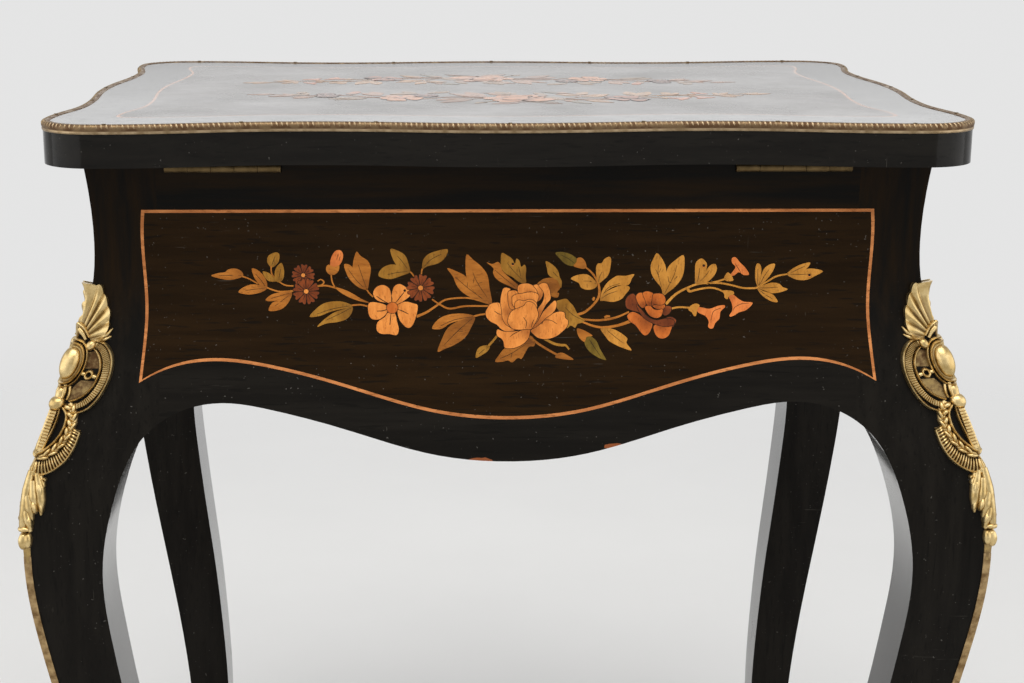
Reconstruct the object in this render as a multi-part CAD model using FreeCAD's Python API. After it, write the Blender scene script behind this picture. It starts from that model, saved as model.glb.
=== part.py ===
import FreeCAD, Part
import os

Vector = FreeCAD.Vector

# Driving sizes in mm. The hinge side is -Y, the lock side +Y, the floor z = 0.
table_height = 730.0
lid_width = 602.0
lid_depth = 460.0
lid_thickness = 28.0
lid_overhang = 27.0
lid_gap = 0.3
collar_flare = 4.0
knee_swell = 46.0
leg_thickness = 50.0
board_thickness = 22.0
post_width = 46.0
sole_thickness = 3.0
tenon_length = 24.0
tenon_thickness = 9.0
arch_run = 71.0
arch_rise = 57.4
apron_drop = 36.4
side_apron_drop = 26.0

# Lid outline, rim, inlay and mirror
corner_radius = 37.0
long_trough = 15.0
long_crown = 11.0
side_trough = 9.5
side_crown = 6.5
rim_height = 6.5
rim_width = 6.2
rim_reach = 1.2
rim_proud = 1.0
rim_round = 1.6
lid_string_inset = 45.0
inlay_corner = 9.0
mirror_width = 424.0
mirror_depth = 284.0
mirror_thickness = 4.0
frame_width = 14.0
frame_height = 6.0
frame_lap = 6.0
bead_width = 5.0
pin_head_radius = 1.3
pin_head_height = 0.5
pin_shank_radius = 0.6
pin_length = 11.0

# Inlay of the four faces
veneer_thickness = 1.0
glue_line = 0.1
string_width = 2.0
string_top_drop = 30.8
string_side_margin = 31.6
string_flare = 3.0
string_lift = 26.0
string_corner_lift = 12.7

# Well and its partitions
floor_lift = 6.0
floor_thickness = 8.0
groove_depth = 6.0
partition_thickness = 7.0
partition_height = 95.0

# Hinges
hinge_length = 75.0
leaf_width = 20.0
leaf_thickness = 1.6
barrel_radius = 3.0
hinge_pin_radius = 1.2
pin_play = 0.05
hinge_reach = 0.4
knuckle_gap = 0.3
screw_radius = 1.4
screw_head_radius = 2.8
screw_length = 12.0

# Lock, key and strike
lock_width = 62.0
lock_height = 40.0
lock_depth = 12.0
lock_wall = 1.4
lock_ear = 7.0
key_rise = 13.0
key_radius = 2.0
key_play = 0.06
key_bit_reach = 8.5
key_bit_width = 5.0
key_bit_thickness = 2.4
key_standoff = 22.0
bow_radius = 8.6
bow_wire_radius = 1.8
bolt_height = 6.0
bolt_thickness = 3.8
bolt_throw = 7.0
bolt_finger = 4.0
running_gap = 0.3
staple_thickness = 3.0
staple_width = 8.0
staple_drop = 10.0
staple_eye = 4.8
staple_spread = 26.0
slot_gap = 0.7
strike_length = 50.0
escutcheon_width = 22.0
escutcheon_height = 38.0
escutcheon_thickness = 1.5

# Gilt mounts
mount_height = 172.0
mount_width = 24.0
mount_thickness = 3.0
plume_thickness = 4.5
scroll_thickness = 3.6
cabochon_thickness = 6.0
edging_width = 4.0
edging_thickness = 0.8
sabot_height = 72.0
sabot_thickness = 2.4
sabot_toe = 6.0
sabot_dip = 24.0

# Shares: leg stations from the floor up are height, outward swell and leg thickness
leg_station_shares = ((0.0, 0.304, 0.66), (0.078, 0.087, 0.62), (0.157, 0.033, 0.62), (0.248, 0.109, 0.69),
                      (0.325, 0.26, 0.76), (0.402, 0.467, 0.84), (0.48, 0.696, 0.90), (0.547, 0.87, 0.944),
                      (0.627, 1.0, 1.0), (0.698, 0.92, 1.12))
upper_station_shares = ((0.7365, 0.77), (0.782, 0.522), (0.835, 0.261), (0.886, 0.0435), (0.921, 0.0))
arch_shares = ((0.232, 0.60), (0.535, 0.883), (1.0, 1.0))
ogee_shares = ((0.152, 0.105), (0.424, 0.447), (0.739, 0.882))
string_side_shares = ((1.0, 0.0), (0.635, 0.1), (0.38, -0.3), (0.194, 0.2), (0.0, 1.0))
rim_roll_shares = ((0.5, 0.0), (0.0, 0.3), (0.0, 0.6), (1.0, 1.0))
lid_long_trough_share = 0.43
lid_side_trough_share = 0.476
smooth_handle_share = 0.45
corner_handle_share = 0.552
hinge_place_share = 0.306
hinge_screw_shares = (0.1, 0.5, 0.9)
spine_share = 0.2
spine_steps = 6
mount_top_share = 0.886
plume_shares = ((0.0, 1.0), (0.31, 0.973), (0.52, 0.944), (0.7, 0.897), (0.76, 0.857), (0.87, 0.808),
                (0.66, 0.792), (0.33, 0.79), (0.0, 0.8))
scroll_shares = ((0.0, 0.8), (0.5, 0.792), (0.81, 0.78), (1.06, 0.744), (1.18, 0.7), (1.19, 0.644),
                 (1.08, 0.583), (0.87, 0.548), (0.47, 0.53), (0.0, 0.53))
upper_eye_shares = ((0.56, 0.742), (0.7, 0.735), (0.84, 0.685), (0.72, 0.685), (0.55, 0.695))
lower_eye_shares = ((0.5, 0.645), (0.66, 0.655), (0.84, 0.645), (0.74, 0.605), (0.45, 0.583), (0.38, 0.605))
fringe_shares = ((0.0, 0.55), (0.5, 0.535), (0.64, 0.49), (0.91, 0.459), (0.91, 0.42), (0.83, 0.374),
                 (0.63, 0.339), (0.36, 0.316), (0.0, 0.31))
slit_shares = ((0.25, 0.51), (0.37, 0.485), (0.39, 0.455), (0.31, 0.425), (0.24, 0.43), (0.22, 0.47))
drop_shares = ((0.0, 0.33), (0.25, 0.3), (0.34, 0.25), (0.4, 0.194), (0.36, 0.165), (0.2, 0.15),
               (0.14, 0.1), (0.0, 0.09))
cabochon_shares = (0.0, 0.711, 0.43, 0.083)
bud_shares = (0.0, 0.063, 0.2, 0.041)
sabot_shares = ((0.0, 1.0), (0.17, 1.12), (0.36, 0.35), (0.62, 0.0), (1.0, 0.0))
ring_steps = 12
search_steps = 40
full_turn = 360.0
knuckle_count = 5
rim_pins_per_quarter = 6
partition_place_share = 0.43
tenon_low_share = 0.82
tenon_high_share = 0.975

# Sizes that follow
case_height = table_height - lid_thickness - lid_gap
lid_under = case_height + lid_gap
half = {"x": lid_width / 2 - lid_overhang - collar_flare, "y": lid_depth / 2 - lid_overhang - collar_flare}
side_shift = half["x"] - half["y"]
top_half = {"x": half["x"] + collar_flare, "y": half["y"] + collar_flare}
post_inner = {"x": top_half["x"] - post_width, "y": top_half["y"] - post_width}
inner = {"x": half["x"] - board_thickness, "y": half["y"] - board_thickness}
reach = {"x": half["x"] + knee_swell + leg_thickness, "y": half["y"] + knee_swell + leg_thickness}
drop = {"x": apron_drop, "y": side_apron_drop}
other = {"x": "y", "y": "x"}
corner_turns = {"front_right": "", "front_left": "x", "back_right": "y", "back_left": "xy"}
shoulder_z = leg_station_shares[-1][0] * case_height
arch_top_z = shoulder_z + arch_rise
floor_z = arch_top_z + floor_lift
board_top = table_height - rim_proud
mount_top = mount_top_share * case_height
mount_base = mount_top - mount_height
made = {}


# Common shapes
def box(x0, x1, y0, y1, z0, z1):
    return Part.makeBox(x1 - x0, y1 - y0, z1 - z0, Vector(x0, y0, z0))


def at(axis, out, along, z):
    return Vector(out, along, z) if axis == "x" else Vector(along, out, z)


def slab(axis, out0, out1, along0, along1, z0, z1):
    low = at(axis, min(out0, out1), min(along0, along1), z0)
    high = at(axis, max(out0, out1), max(along0, along1), z1)
    return box(low.x, high.x, low.y, high.y, low.z, high.z)


def curve(points):
    spline = Part.BSplineCurve()
    spline.interpolate(points)
    return spline.toShape()


def loop(points):
    spline = Part.BSplineCurve()
    spline.interpolate(points, True)
    return Part.Wire([spline.toShape()])


def line(a, b):
    return Part.makeLine(a, b)


def prism(wire, direction):
    return Part.Face(wire).extrude(direction)


def tube(start, direction, length, radius):
    return Part.makeCylinder(radius, length, start, direction)


def flip(shape, axis):
    return shape.mirror(Vector(), at(axis, 1, 0, 0))


def turned(shape, axes):
    for axis in axes:
        shape = flip(shape, axis)
    return shape


def joined(shapes):
    return shapes[0].multiFuse(shapes[1:]).removeSplitter()


# Outward profile shared by legs and aprons
def profile(axis):
    rows = [(half[axis] + knee_swell * out, case_height * high) for high, out, thick in leg_station_shares]
    rows += [(half[axis] + knee_swell * out, case_height * high) for high, out in upper_station_shares]
    return rows + [(top_half[axis], case_height)]


ridge_line = curve([Vector(out, 0, z) for out, z in profile("x")]).Curve


def out_at(edge_line, z):
    low, high = edge_line.FirstParameter, edge_line.LastParameter
    for step in range(search_steps):
        middle = (low + high) / 2
        if edge_line.value(middle).z < z:
            low = middle
        else:
            high = middle
    return edge_line.value(low).x


def ridge_out(axis, z):
    return out_at(ridge_line, z) - (0.0 if axis == "x" else side_shift)


def column(axis, grow, back, low, high):
    points = [at(axis, out + grow, low, z) for out, z in profile(axis)]
    top = at(axis, back, low, case_height)
    base = at(axis, back, low, 0)
    wire = Part.Wire([curve(points), line(points[-1], top), line(top, base), line(base, points[0])])
    return prism(wire, at(axis, 0, high - low, 0))


# Space under the table, drawn along one axis and running through along the other
def under_edge(axis):
    rows = []
    for high, out, thick in leg_station_shares:
        rows.append((half[axis] + knee_swell * out - leg_thickness * thick, case_height * high))
    shoulder = rows[-1][0]
    for across, up in arch_shares:
        rows.append((shoulder - arch_run * across, shoulder_z + arch_rise * up))
    crest = rows[-1][0]
    for across, down in ogee_shares:
        rows.append((crest * (1 - across), arch_top_z - drop[axis] * down))
    return rows


def inner_line(axis):
    rows = under_edge(axis)[:len(leg_station_shares)]
    return curve([Vector(out, 0, z) for out, z in rows]).Curve


leg_inside = {axis: inner_line(axis) for axis in "xy"}


def inner_out(axis, z):
    return out_at(leg_inside[axis], z)


def hollow(axis):
    rows = under_edge(axis)
    span = rows + [(0.0, arch_top_z - drop[axis])] + [(-out, z) for out, z in rows[::-1]]
    points = [at(axis, out, -reach[other[axis]], z) for out, z in span]
    wire = Part.Wire([curve(points), line(points[-1], points[0])])
    return prism(wire, at(axis, 0, 2 * reach[other[axis]], 0))


under = {axis: hollow(axis) for axis in "xy"}


# One leg for the +X +Y corner, mirrored for the others
def leg_blank():
    blank = column("x", 0, half["x"] - leg_thickness, half["y"] - leg_thickness, reach["y"])
    blank = blank.common(column("y", 0, half["y"] - leg_thickness, half["x"] - leg_thickness, reach["x"]))
    for axis in "xy":
        blank = blank.cut(under[axis])
        blank = blank.cut(slab(axis, 0, post_inner[axis], 0, reach[other[axis]], shoulder_z, case_height))
    return blank


def string_wire(axis, inset):
    along = other[axis]
    top_z = case_height - string_top_drop - inset
    corner_z = arch_top_z + string_corner_lift + inset
    edge = half[along] - string_side_margin - inset
    rise = top_z - corner_z
    side = [(edge + string_flare * out, corner_z + rise * high) for high, out in string_side_shares]
    rows = under_edge(along)[-1 - len(ogee_shares):]
    rows.append((0.0, arch_top_z - drop[along]))
    low = [side[-1]] + [(out, z + string_lift + inset) for out, z in rows]
    full = low + [(-out, z) for out, z in low[-2::-1]]
    right = [at(axis, 0, out, z) for out, z in side]
    base = [at(axis, 0, out, z) for out, z in full]
    left = [at(axis, 0, -out, z) for out, z in side[::-1]]
    return Part.Wire([curve(right), curve(base), curve(left), line(left[-1], right[0])])


def skin(axis, wire, depth, grow):
    reach_along = reach[other[axis]]
    outer = column(axis, grow, 0, -reach_along, reach_along)
    core = column(axis, grow - depth, 0, -reach_along, reach_along)
    return prism(wire, at(axis, reach[axis], 0, 0)).common(outer).cut(core)


pocket = {axis: skin(axis, string_wire(axis, 0), veneer_thickness + glue_line, 0) for axis in "xy"}
inlay = {axis: skin(axis, string_wire(axis, 0), veneer_thickness, 0) for axis in "xy"}
field = {axis: skin(axis, string_wire(axis, string_width), veneer_thickness, 0) for axis in "xy"}
stringing = {axis: inlay[axis].cut(field[axis]) for axis in "xy"}

# Aprons: the one for +X and the one for +Y
tenon_low = tenon_low_share * case_height
tenon_high = tenon_high_share * case_height


def apron_tenon(axis, sign):
    along = other[axis]
    near = inner[axis] + (board_thickness - tenon_thickness) / 2
    start = sign * post_inner[along]
    end = sign * (post_inner[along] + tenon_length)
    return slab(axis, near, near + tenon_thickness, start, end, tenon_low, tenon_high)


def apron_board(axis):
    along = other[axis]
    board = column(axis, 0, inner[axis], -post_inner[along], post_inner[along])
    board = board.cut(under[along])
    board = board.cut(slab(axis, 0, reach[axis], -reach[along], reach[along], 0, shoulder_z))
    board = board.cut(pocket[axis])
    return joined([board, apron_tenon(axis, 1), apron_tenon(axis, -1)])


blank_leg = leg_blank()
leg = blank_leg
for face in "xy":
    leg = leg.cut(pocket[face]).cut(apron_tenon(face, 1))
leg = leg.cut(box(0, reach["x"], 0, reach["y"], 0, sole_thickness))
floor_half = {axis: inner[axis] + groove_depth for axis in "xy"}
wall_base = floor_z + floor_thickness
well_floor = box(-floor_half["x"], floor_half["x"], -floor_half["y"], floor_half["y"], floor_z, wall_base)
for name, axes in corner_turns.items():
    made["leg_" + name] = turned(leg, axes)
    well_floor = well_floor.cut(made["leg_" + name])
made["well_floor"] = well_floor
side_board = apron_board("x").cut(well_floor)
long_board = apron_board("y").cut(well_floor)
made["right_apron"] = side_board
made["left_apron"] = flip(side_board, "x")
made["right_field"] = field["x"]
made["left_field"] = flip(field["x"], "x")
made["right_stringing"] = stringing["x"]
made["left_stringing"] = flip(stringing["x"], "x")

# Partitions standing on the floor of the well
wall_top = wall_base + partition_height
wall_place = partition_place_share * inner["x"]
wall = box(wall_place, wall_place + partition_thickness, -inner["y"], inner["y"], wall_base, wall_top)
half_wall = partition_thickness / 2
cross = box(wall_place + partition_thickness, inner["x"], -half_wall, half_wall, wall_base, wall_top)
made["right_partition"] = wall
made["left_partition"] = flip(wall, "x")
made["right_cross_partition"] = cross
made["left_cross_partition"] = flip(cross, "x")


# Lid outline, pulled in by an inset
def lid_nodes(inset):
    half_x = lid_width / 2 - inset
    half_y = lid_depth / 2 - inset
    corner_x = half_x - max(corner_radius - inset, inlay_corner)
    corner_y = half_y - max(corner_radius - inset, inlay_corner)
    side_y = lid_side_trough_share * lid_depth / 2
    long_x = lid_long_trough_share * lid_width / 2
    low_x = half_x - side_trough
    low_y = half_y - long_trough
    rows = [(low_x + side_crown, 0, "y"), (low_x, side_y, "y"), (half_x, corner_y, "y"),
            (corner_x, half_y, "x"), (long_x, low_y, "x"), (0, low_y + long_crown, "x")]
    rows += [(-x, y, run) for x, y, run in rows[-2::-1]]
    return rows + [(x, -y, run) for x, y, run in rows[-2:0:-1]]


def lid_wire(inset, z):
    rows = lid_nodes(inset)
    edges = []
    for index, (x0, y0, run0) in enumerate(rows):
        x1, y1, run1 = rows[(index + 1) % len(rows)]
        share = smooth_handle_share if run0 == run1 else corner_handle_share
        hold0 = (share * (x1 - x0), 0) if run0 == "x" else (0, share * (y1 - y0))
        hold1 = (share * (x1 - x0), 0) if run1 == "x" else (0, share * (y1 - y0))
        bezier = Part.BezierCurve()
        bezier.setPoles([Vector(x0, y0, z), Vector(x0 + hold0[0], y0 + hold0[1], z),
                         Vector(x1 - hold1[0], y1 - hold1[1], z), Vector(x1, y1, z)])
        edges.append(bezier.toShape())
    return Part.Wire(edges)


def lid_slice(inset, z0, z1):
    return prism(lid_wire(inset, z0), Vector(0, 0, z1 - z0))


rim_base = table_height - rim_height
lid_board = lid_slice(rim_reach, lid_under, board_top).cut(
    lid_slice(rim_reach - lid_gap, rim_base, table_height).cut(lid_slice(rim_width, rim_base, table_height)))
roll_base = rim_base + rim_reach + rim_proud / 2
roll_height = table_height - roll_base
roll = Part.makeLoft([lid_wire(rim_round * inset, roll_base + roll_height * high)
                      for inset, high in rim_roll_shares], True, True)
rim = lid_slice(rim_reach / 2, rim_base, roll_base).fuse(roll)
rim = rim.cut(lid_slice(rim_width, rim_base, table_height))
top_line = lid_slice(lid_string_inset, board_top - veneer_thickness, board_top)
top_field = lid_slice(lid_string_inset + string_width, board_top - veneer_thickness, board_top)
made["lid_stringing"] = top_line.cut(top_field)
made["lid_field"] = top_field
lid_board = lid_board.cut(top_line)

# Rim pins, through the rim into the lid
pins = []
pin_nodes = lid_wire(rim_width / 2, table_height).discretize(Number=4 * rim_pins_per_quarter + 1)[:-1]
for spot in pin_nodes:
    shank = tube(spot - Vector(0, 0, pin_length), Vector(0, 0, 1), pin_length, pin_shank_radius)
    head = tube(spot - Vector(0, 0, pin_head_height), Vector(0, 0, 1), pin_head_height, pin_head_radius)
    pins.append(shank.fuse(head).removeSplitter())
pin_group = Part.makeCompound(pins)
rim = rim.cut(pin_group)
lid_board = lid_board.cut(pin_group)
made["rim_pins"] = pin_group
quarter = box(0, lid_width, 0, lid_depth, 0, 2 * table_height)
for name, axes in corner_turns.items():
    made["rim_" + name] = rim.common(turned(quarter, axes))

# Mirror and its mitred frame under the lid
mirror_base = lid_under + frame_height
glass_x = mirror_width / 2 - frame_width + frame_lap
glass_y = mirror_depth / 2 - frame_width + frame_lap
made["mirror_glass"] = box(-glass_x, glass_x, -glass_y, glass_y, mirror_base, mirror_base + mirror_thickness)
frame_x = mirror_width / 2
frame_y = mirror_depth / 2
frame_blank = box(-frame_x, frame_x, -frame_y, frame_y, lid_under, mirror_base)
lid_board = lid_board.cut(made["mirror_glass"]).cut(frame_blank)


def rectangle(half_x, half_y, z):
    corners = [Vector(sx * half_x, sy * half_y, z) for sx, sy in ((1, 1), (-1, 1), (-1, -1), (1, -1))]
    return Part.makePolygon(corners + corners[:1])


sight_x = frame_x - frame_width
sight_y = frame_y - frame_width
sight = Part.makeLoft([rectangle(sight_x + bead_width, sight_y + bead_width, lid_under),
                       rectangle(sight_x, sight_y, mirror_base)], True, True)
moulding = frame_blank.cut(sight)
strips = []
for sx, sy in ((1, 0), (-1, 0), (0, 1), (0, -1)):
    if sx:
        ends = [Vector(sx * frame_x, s * frame_y, 0) for s in (1, -1)]
        root = [Vector(sx * sight_x, s * sight_y, 0) for s in (-1, 1)]
    else:
        ends = [Vector(s * frame_x, sy * frame_y, 0) for s in (1, -1)]
        root = [Vector(s * sight_x, sy * sight_y, 0) for s in (-1, 1)]
    corners = ends + root
    strips.append(moulding.common(prism(Part.makePolygon(corners + corners[:1]), Vector(0, 0, table_height))))
made["mirror_frame"] = Part.makeCompound(strips)

# Hinges on the back: barrel under the lid, leaves let into lid and apron
axle_y = -top_half["y"] - hinge_reach
axle_z = case_height - barrel_radius
hinge_x = hinge_place_share * lid_width - hinge_length / 2
knuckle = hinge_length / knuckle_count
block_y = axle_y + barrel_radius + hinge_reach
leaf_end = axle_y + leaf_width
case_leaf_top = case_height
leaf_seat = case_height - leaf_thickness


def countersunk(spot, direction):
    cone = Part.makeCone(screw_head_radius, screw_radius, screw_head_radius - screw_radius, spot, direction)
    return cone.fuse(tube(spot, direction, screw_length, screw_radius)).removeSplitter()


def hinge_spots(z):
    middle = (block_y + leaf_end) / 2
    return [Vector(hinge_x + hinge_length * share, middle, z) for share in hinge_screw_shares]


case_leaf = box(hinge_x, hinge_x + hinge_length, axle_y, leaf_end, leaf_seat, case_leaf_top)
leaf_top = lid_under + leaf_thickness
lid_leaf = box(hinge_x, hinge_x + hinge_length, axle_y, leaf_end, lid_under, leaf_top)
lid_pocket = lid_leaf
channel = tube(Vector(hinge_x - knuckle_gap, axle_y, axle_z), Vector(1, 0, 0), hinge_length + 2 * knuckle_gap,
               barrel_radius + running_gap)
case_rings = []
lid_rings = []
along_x = Vector(1, 0, 0)
root_base = axle_z + hinge_pin_radius
notch_low = root_base - 2 * running_gap
for index in range(knuckle_count):
    x0 = hinge_x + index * knuckle + knuckle_gap / 2
    x1 = x0 + knuckle - knuckle_gap
    ring = tube(Vector(x0, axle_y, axle_z), along_x, x1 - x0, barrel_radius)
    if index % 2 == 0:
        case_rings.append(ring)
        continue
    lid_rings += [ring, box(x0, x1, axle_y, block_y, root_base, leaf_top)]
    notch_start = x0 - knuckle_gap
    notch_end = x1 + knuckle_gap
    notch = box(notch_start, notch_end, axle_y - barrel_radius, block_y + running_gap, notch_low, lid_under)
    sweep_start = Vector(notch_start, axle_y, axle_z)
    sweep = tube(sweep_start, along_x, notch_end - notch_start, barrel_radius + running_gap)
    case_leaf = case_leaf.cut(notch).cut(sweep)
    channel = channel.fuse(notch)
bore = tube(Vector(hinge_x, axle_y, axle_z), Vector(1, 0, 0), hinge_length, hinge_pin_radius + pin_play)
case_leaf = joined([case_leaf] + case_rings).cut(bore)
lid_leaf = joined([lid_leaf] + lid_rings).cut(bore)
case_screws = Part.makeCompound([countersunk(spot, Vector(0, 0, -1)) for spot in hinge_spots(case_leaf_top)])
lid_screws = Part.makeCompound([countersunk(spot, Vector(0, 0, 1)) for spot in hinge_spots(lid_under)])
case_leaf = case_leaf.cut(case_screws)
lid_leaf = lid_leaf.cut(lid_screws)
hinge_pin = tube(Vector(hinge_x, axle_y, axle_z), Vector(1, 0, 0), hinge_length, hinge_pin_radius)
back_board = flip(long_board, "y")
case_screw_list = []
lid_screw_list = []
for side, turn in (("right", False), ("left", True)):
    pieces = [case_leaf, lid_leaf, hinge_pin, case_screws, lid_screws, channel, lid_pocket]
    if turn:
        pieces = [flip(piece, "x") for piece in pieces]
    made[side + "_hinge_case_leaf"] = pieces[0]
    made[side + "_hinge_lid_leaf"] = pieces[1]
    made[side + "_hinge_pin"] = pieces[2]
    case_screw_list.append(pieces[3])
    lid_screw_list.append(pieces[4])
    back_board = back_board.cut(pieces[5]).cut(pieces[0]).cut(pieces[3])
    lid_board = lid_board.cut(pieces[6]).cut(pieces[4])
made["hinge_case_screws"] = Part.makeCompound(case_screw_list)
made["hinge_lid_screws"] = Part.makeCompound(lid_screw_list)
made["back_apron"] = back_board
made["back_field"] = flip(field["y"], "y")
made["back_stringing"] = flip(stringing["y"], "y")

# Lock let into the front apron, with its bolt, key, escutcheon and strike
lock_y = inner["y"]
lock_base = case_height - lock_height
key_z = lock_base + key_rise
half_lock = lock_width / 2
shell = box(-half_lock, half_lock, lock_y, lock_y + lock_depth, lock_base, case_height)
shell = shell.fuse(box(-half_lock - lock_ear, half_lock + lock_ear, lock_y, lock_y + lock_depth,
                       case_height - lock_wall, case_height)).removeSplitter()
lock_pocket = shell
shell = shell.cut(box(-half_lock + lock_wall, half_lock - lock_wall, lock_y + lock_wall, lock_y + lock_depth,
                      lock_base + lock_wall, case_height - lock_wall))
staple_y = lock_y + lock_depth / 2 + lock_wall / 2
half_staple = staple_width / 2
bolt_y = staple_y - bolt_thickness / 2
bar_base = key_z + key_bit_reach + 2 * running_gap
bar_top = bar_base + bolt_height
finger_base = lid_under - staple_drop + (staple_drop - staple_eye) / 2 - running_gap
finger_base = finger_base + (staple_eye - bolt_finger) / 2
finger_top = finger_base + bolt_finger
staples = []
hooks = []
half_web = staple_thickness / 2
half_eye = staple_eye / 2
half_slot = half_staple + slot_gap
eye_base = finger_base - (staple_eye - bolt_finger) / 2
staple_base = lid_under - staple_drop
for sign in (1, -1):
    x = sign * staple_spread / 2
    block = box(x - half_web, x + half_web, staple_y - half_staple, staple_y + half_staple,
                staple_base, lid_under + lock_wall)
    eye = box(x - staple_thickness, x + staple_thickness, staple_y - half_eye, staple_y + half_eye,
              eye_base, eye_base + staple_eye)
    staples.append(block.cut(eye))
    slot = box(x - half_web - slot_gap, x + half_web + slot_gap, staple_y - half_slot, staple_y + half_slot,
               case_height - lock_wall, case_height)
    shell = shell.cut(slot)
    tip = x - half_web - 3 * running_gap
    root = tip - bolt_throw - staple_thickness
    hooks.append(box(root, tip, bolt_y, bolt_y + bolt_thickness, finger_base, finger_top))
    hooks.append(box(root, root + staple_thickness, bolt_y, bolt_y + bolt_thickness, bar_base, finger_top))
bar_left = -staple_spread / 2 - bolt_throw - 2 * staple_thickness
bar_right = staple_spread / 2 - bolt_throw + staple_thickness
hooks.append(box(bar_left, bar_right, bolt_y, bolt_y + bolt_thickness, bar_base, bar_top))
talon = bar_base - bolt_finger
talon_gap = bolt_throw - key_bit_thickness / 2 - 2 * running_gap
for near in (-talon_gap, -talon_gap - 3 * bolt_finger):
    hooks.append(box(near, near + staple_thickness, bolt_y, bolt_y + bolt_thickness, talon, bar_base))
made["lock_bolt"] = joined(hooks)
guides = []
for low_x, high_x in ((bar_left, bar_left + key_bit_reach), (bar_right + lock_wall, half_lock - lock_wall)):
    guides.append(box(low_x, high_x, lock_y, lock_y + lock_depth - lock_wall, talon, bar_base - running_gap))
    guides.append(box(low_x, high_x, lock_y, bolt_y - running_gap, talon, bar_top))
shell = joined([shell] + guides)
lock_screws = []
for sign in (1, -1):
    spot = Vector(sign * (half_lock + lock_ear / 2), lock_y + lock_depth / 2, case_height)
    lock_screws.append(countersunk(spot, Vector(0, 0, -1)))
lock_screw_group = Part.makeCompound(lock_screws)
made["lock_screws"] = lock_screw_group
made["lock_case"] = shell.cut(lock_screw_group)
strike = box(-strike_length / 2, strike_length / 2, staple_y - half_staple, staple_y + half_staple,
             lid_under, lid_under + lock_wall)
strike = joined([strike] + staples)
strike_screws = []
for sign in (1, -1):
    spot = Vector(sign * (strike_length / 2 - lock_ear / 2), staple_y, lid_under)
    strike_screws.append(countersunk(spot, Vector(0, 0, 1)))
strike_screw_group = Part.makeCompound(strike_screws)
made["strike_screws"] = strike_screw_group
lid_board = lid_board.cut(strike).cut(strike_screw_group)
made["lock_strike"] = strike.cut(strike_screw_group)
made["lid_board"] = lid_board

# Key through the apron, its bit hanging down in the lock
key_in = bolt_y - running_gap
key_face = ridge_out("y", key_z)
key_out = key_face + key_standoff
shaft = tube(Vector(0, key_in, key_z), Vector(0, 1, 0), key_out - key_in, key_radius)
collar = tube(Vector(0, key_face + 2 * escutcheon_thickness, key_z), Vector(0, 1, 0), 2 * bow_wire_radius,
              key_radius + bow_wire_radius / 2)
bit_half = key_bit_thickness / 2
bit = box(-bit_half, bit_half, key_in, key_in + key_bit_width, key_z - key_bit_reach, key_z)
bow = Part.makeTorus(bow_radius, bow_wire_radius, Vector(0, key_out + bow_radius, key_z), Vector(1, 0, 0))
made["lock_key"] = joined([shaft, collar, bit, bow])
shaft_hole = tube(Vector(0, lock_y + lock_wall, key_z), Vector(0, 1, 0), reach["y"], key_radius + key_play)
bit_slot = box(-bit_half - slot_gap, bit_half + slot_gap, lock_y + lock_wall, reach["y"],
               key_z - key_bit_reach - slot_gap, key_z)
keyhole = shaft_hole.fuse(bit_slot)
plate_middle = key_z - key_bit_reach / 2
plate_top = Vector(0, 0, plate_middle + escutcheon_height / 2)
plate_side = Vector(escutcheon_width / 2, 0, plate_middle)
oval = Part.Ellipse(plate_top, plate_side, Vector(0, 0, plate_middle))
plate = skin("y", Part.Wire([oval.toShape()]), escutcheon_thickness, escutcheon_thickness)
made["keyhole_escutcheon"] = plate.cut(keyhole)
made["front_apron"] = long_board.cut(lock_pocket).cut(lock_screw_group).cut(keyhole)
made["front_field"] = field["y"].cut(keyhole)
made["front_stringing"] = stringing["y"]


# Gilt corner mount, its outline drawn on the +Y face and mirrored over the ridge
def mount_spot(across, up):
    z = mount_base + mount_height * up
    return Vector(ridge_out("x", z) - mount_width * across, 0, z)


wedge_far = Vector(side_shift + reach["y"], reach["y"], 0)
wedge_corners = [Vector(side_shift, 0, 0), wedge_far, Vector(0, reach["y"], 0), Vector()]
wedge = prism(Part.makePolygon(wedge_corners + wedge_corners[:1]), Vector(0, 0, table_height))


def mount_solid(face, thickness):
    outer = column("y", thickness, 0, 0, reach["x"])
    core = column("y", -edging_width, 0, 0, reach["x"])
    return face.extrude(Vector(0, reach["y"], 0)).common(outer).cut(core).common(wedge)


def closed_wire(edge_curve, points, beyond):
    back = [points[-1] + beyond, points[0] + beyond]
    return Part.Wire([edge_curve, line(points[-1], back[0]), line(*back), line(back[1], points[0])])


def ridge_face(shares):
    points = [mount_spot(across, up) for across, up in shares]
    return Part.Face(closed_wire(curve(points), points, Vector(2 * cabochon_thickness, 0, 0)))


def eye_face(shares):
    return Part.Face(loop([mount_spot(across, up) for across, up in shares]))


def oval_face(middle, high, across, up):
    shares = []
    for step in range(ring_steps):
        turn = FreeCAD.Rotation(Vector(0, 1, 0), full_turn * step / ring_steps).multVec(Vector(1, 0, 0))
        shares.append((middle + across * turn.x, high + up * turn.z))
    return eye_face(shares)


spine_shares = [(spine_share, step / spine_steps) for step in range(spine_steps + 1)]
scroll_face = ridge_face(scroll_shares).cut(eye_face(upper_eye_shares)).cut(eye_face(lower_eye_shares))
fringe_face = ridge_face(fringe_shares).cut(eye_face(slit_shares))
castings = [(ridge_face(spine_shares), mount_thickness), (ridge_face(plume_shares), plume_thickness),
            (scroll_face, scroll_thickness), (fringe_face, mount_thickness),
            (ridge_face(drop_shares), scroll_thickness), (oval_face(*bud_shares), plume_thickness),
            (oval_face(*cabochon_shares), cabochon_thickness)]
halves = [mount_solid(face, thickness) for shape, thickness in castings for face in shape.Faces]
mount_half = joined(halves).cut(blank_leg)
mount = joined([mount_half, mount_half.mirror(Vector(side_shift, 0, 0), Vector(1, -1, 0))])


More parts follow.
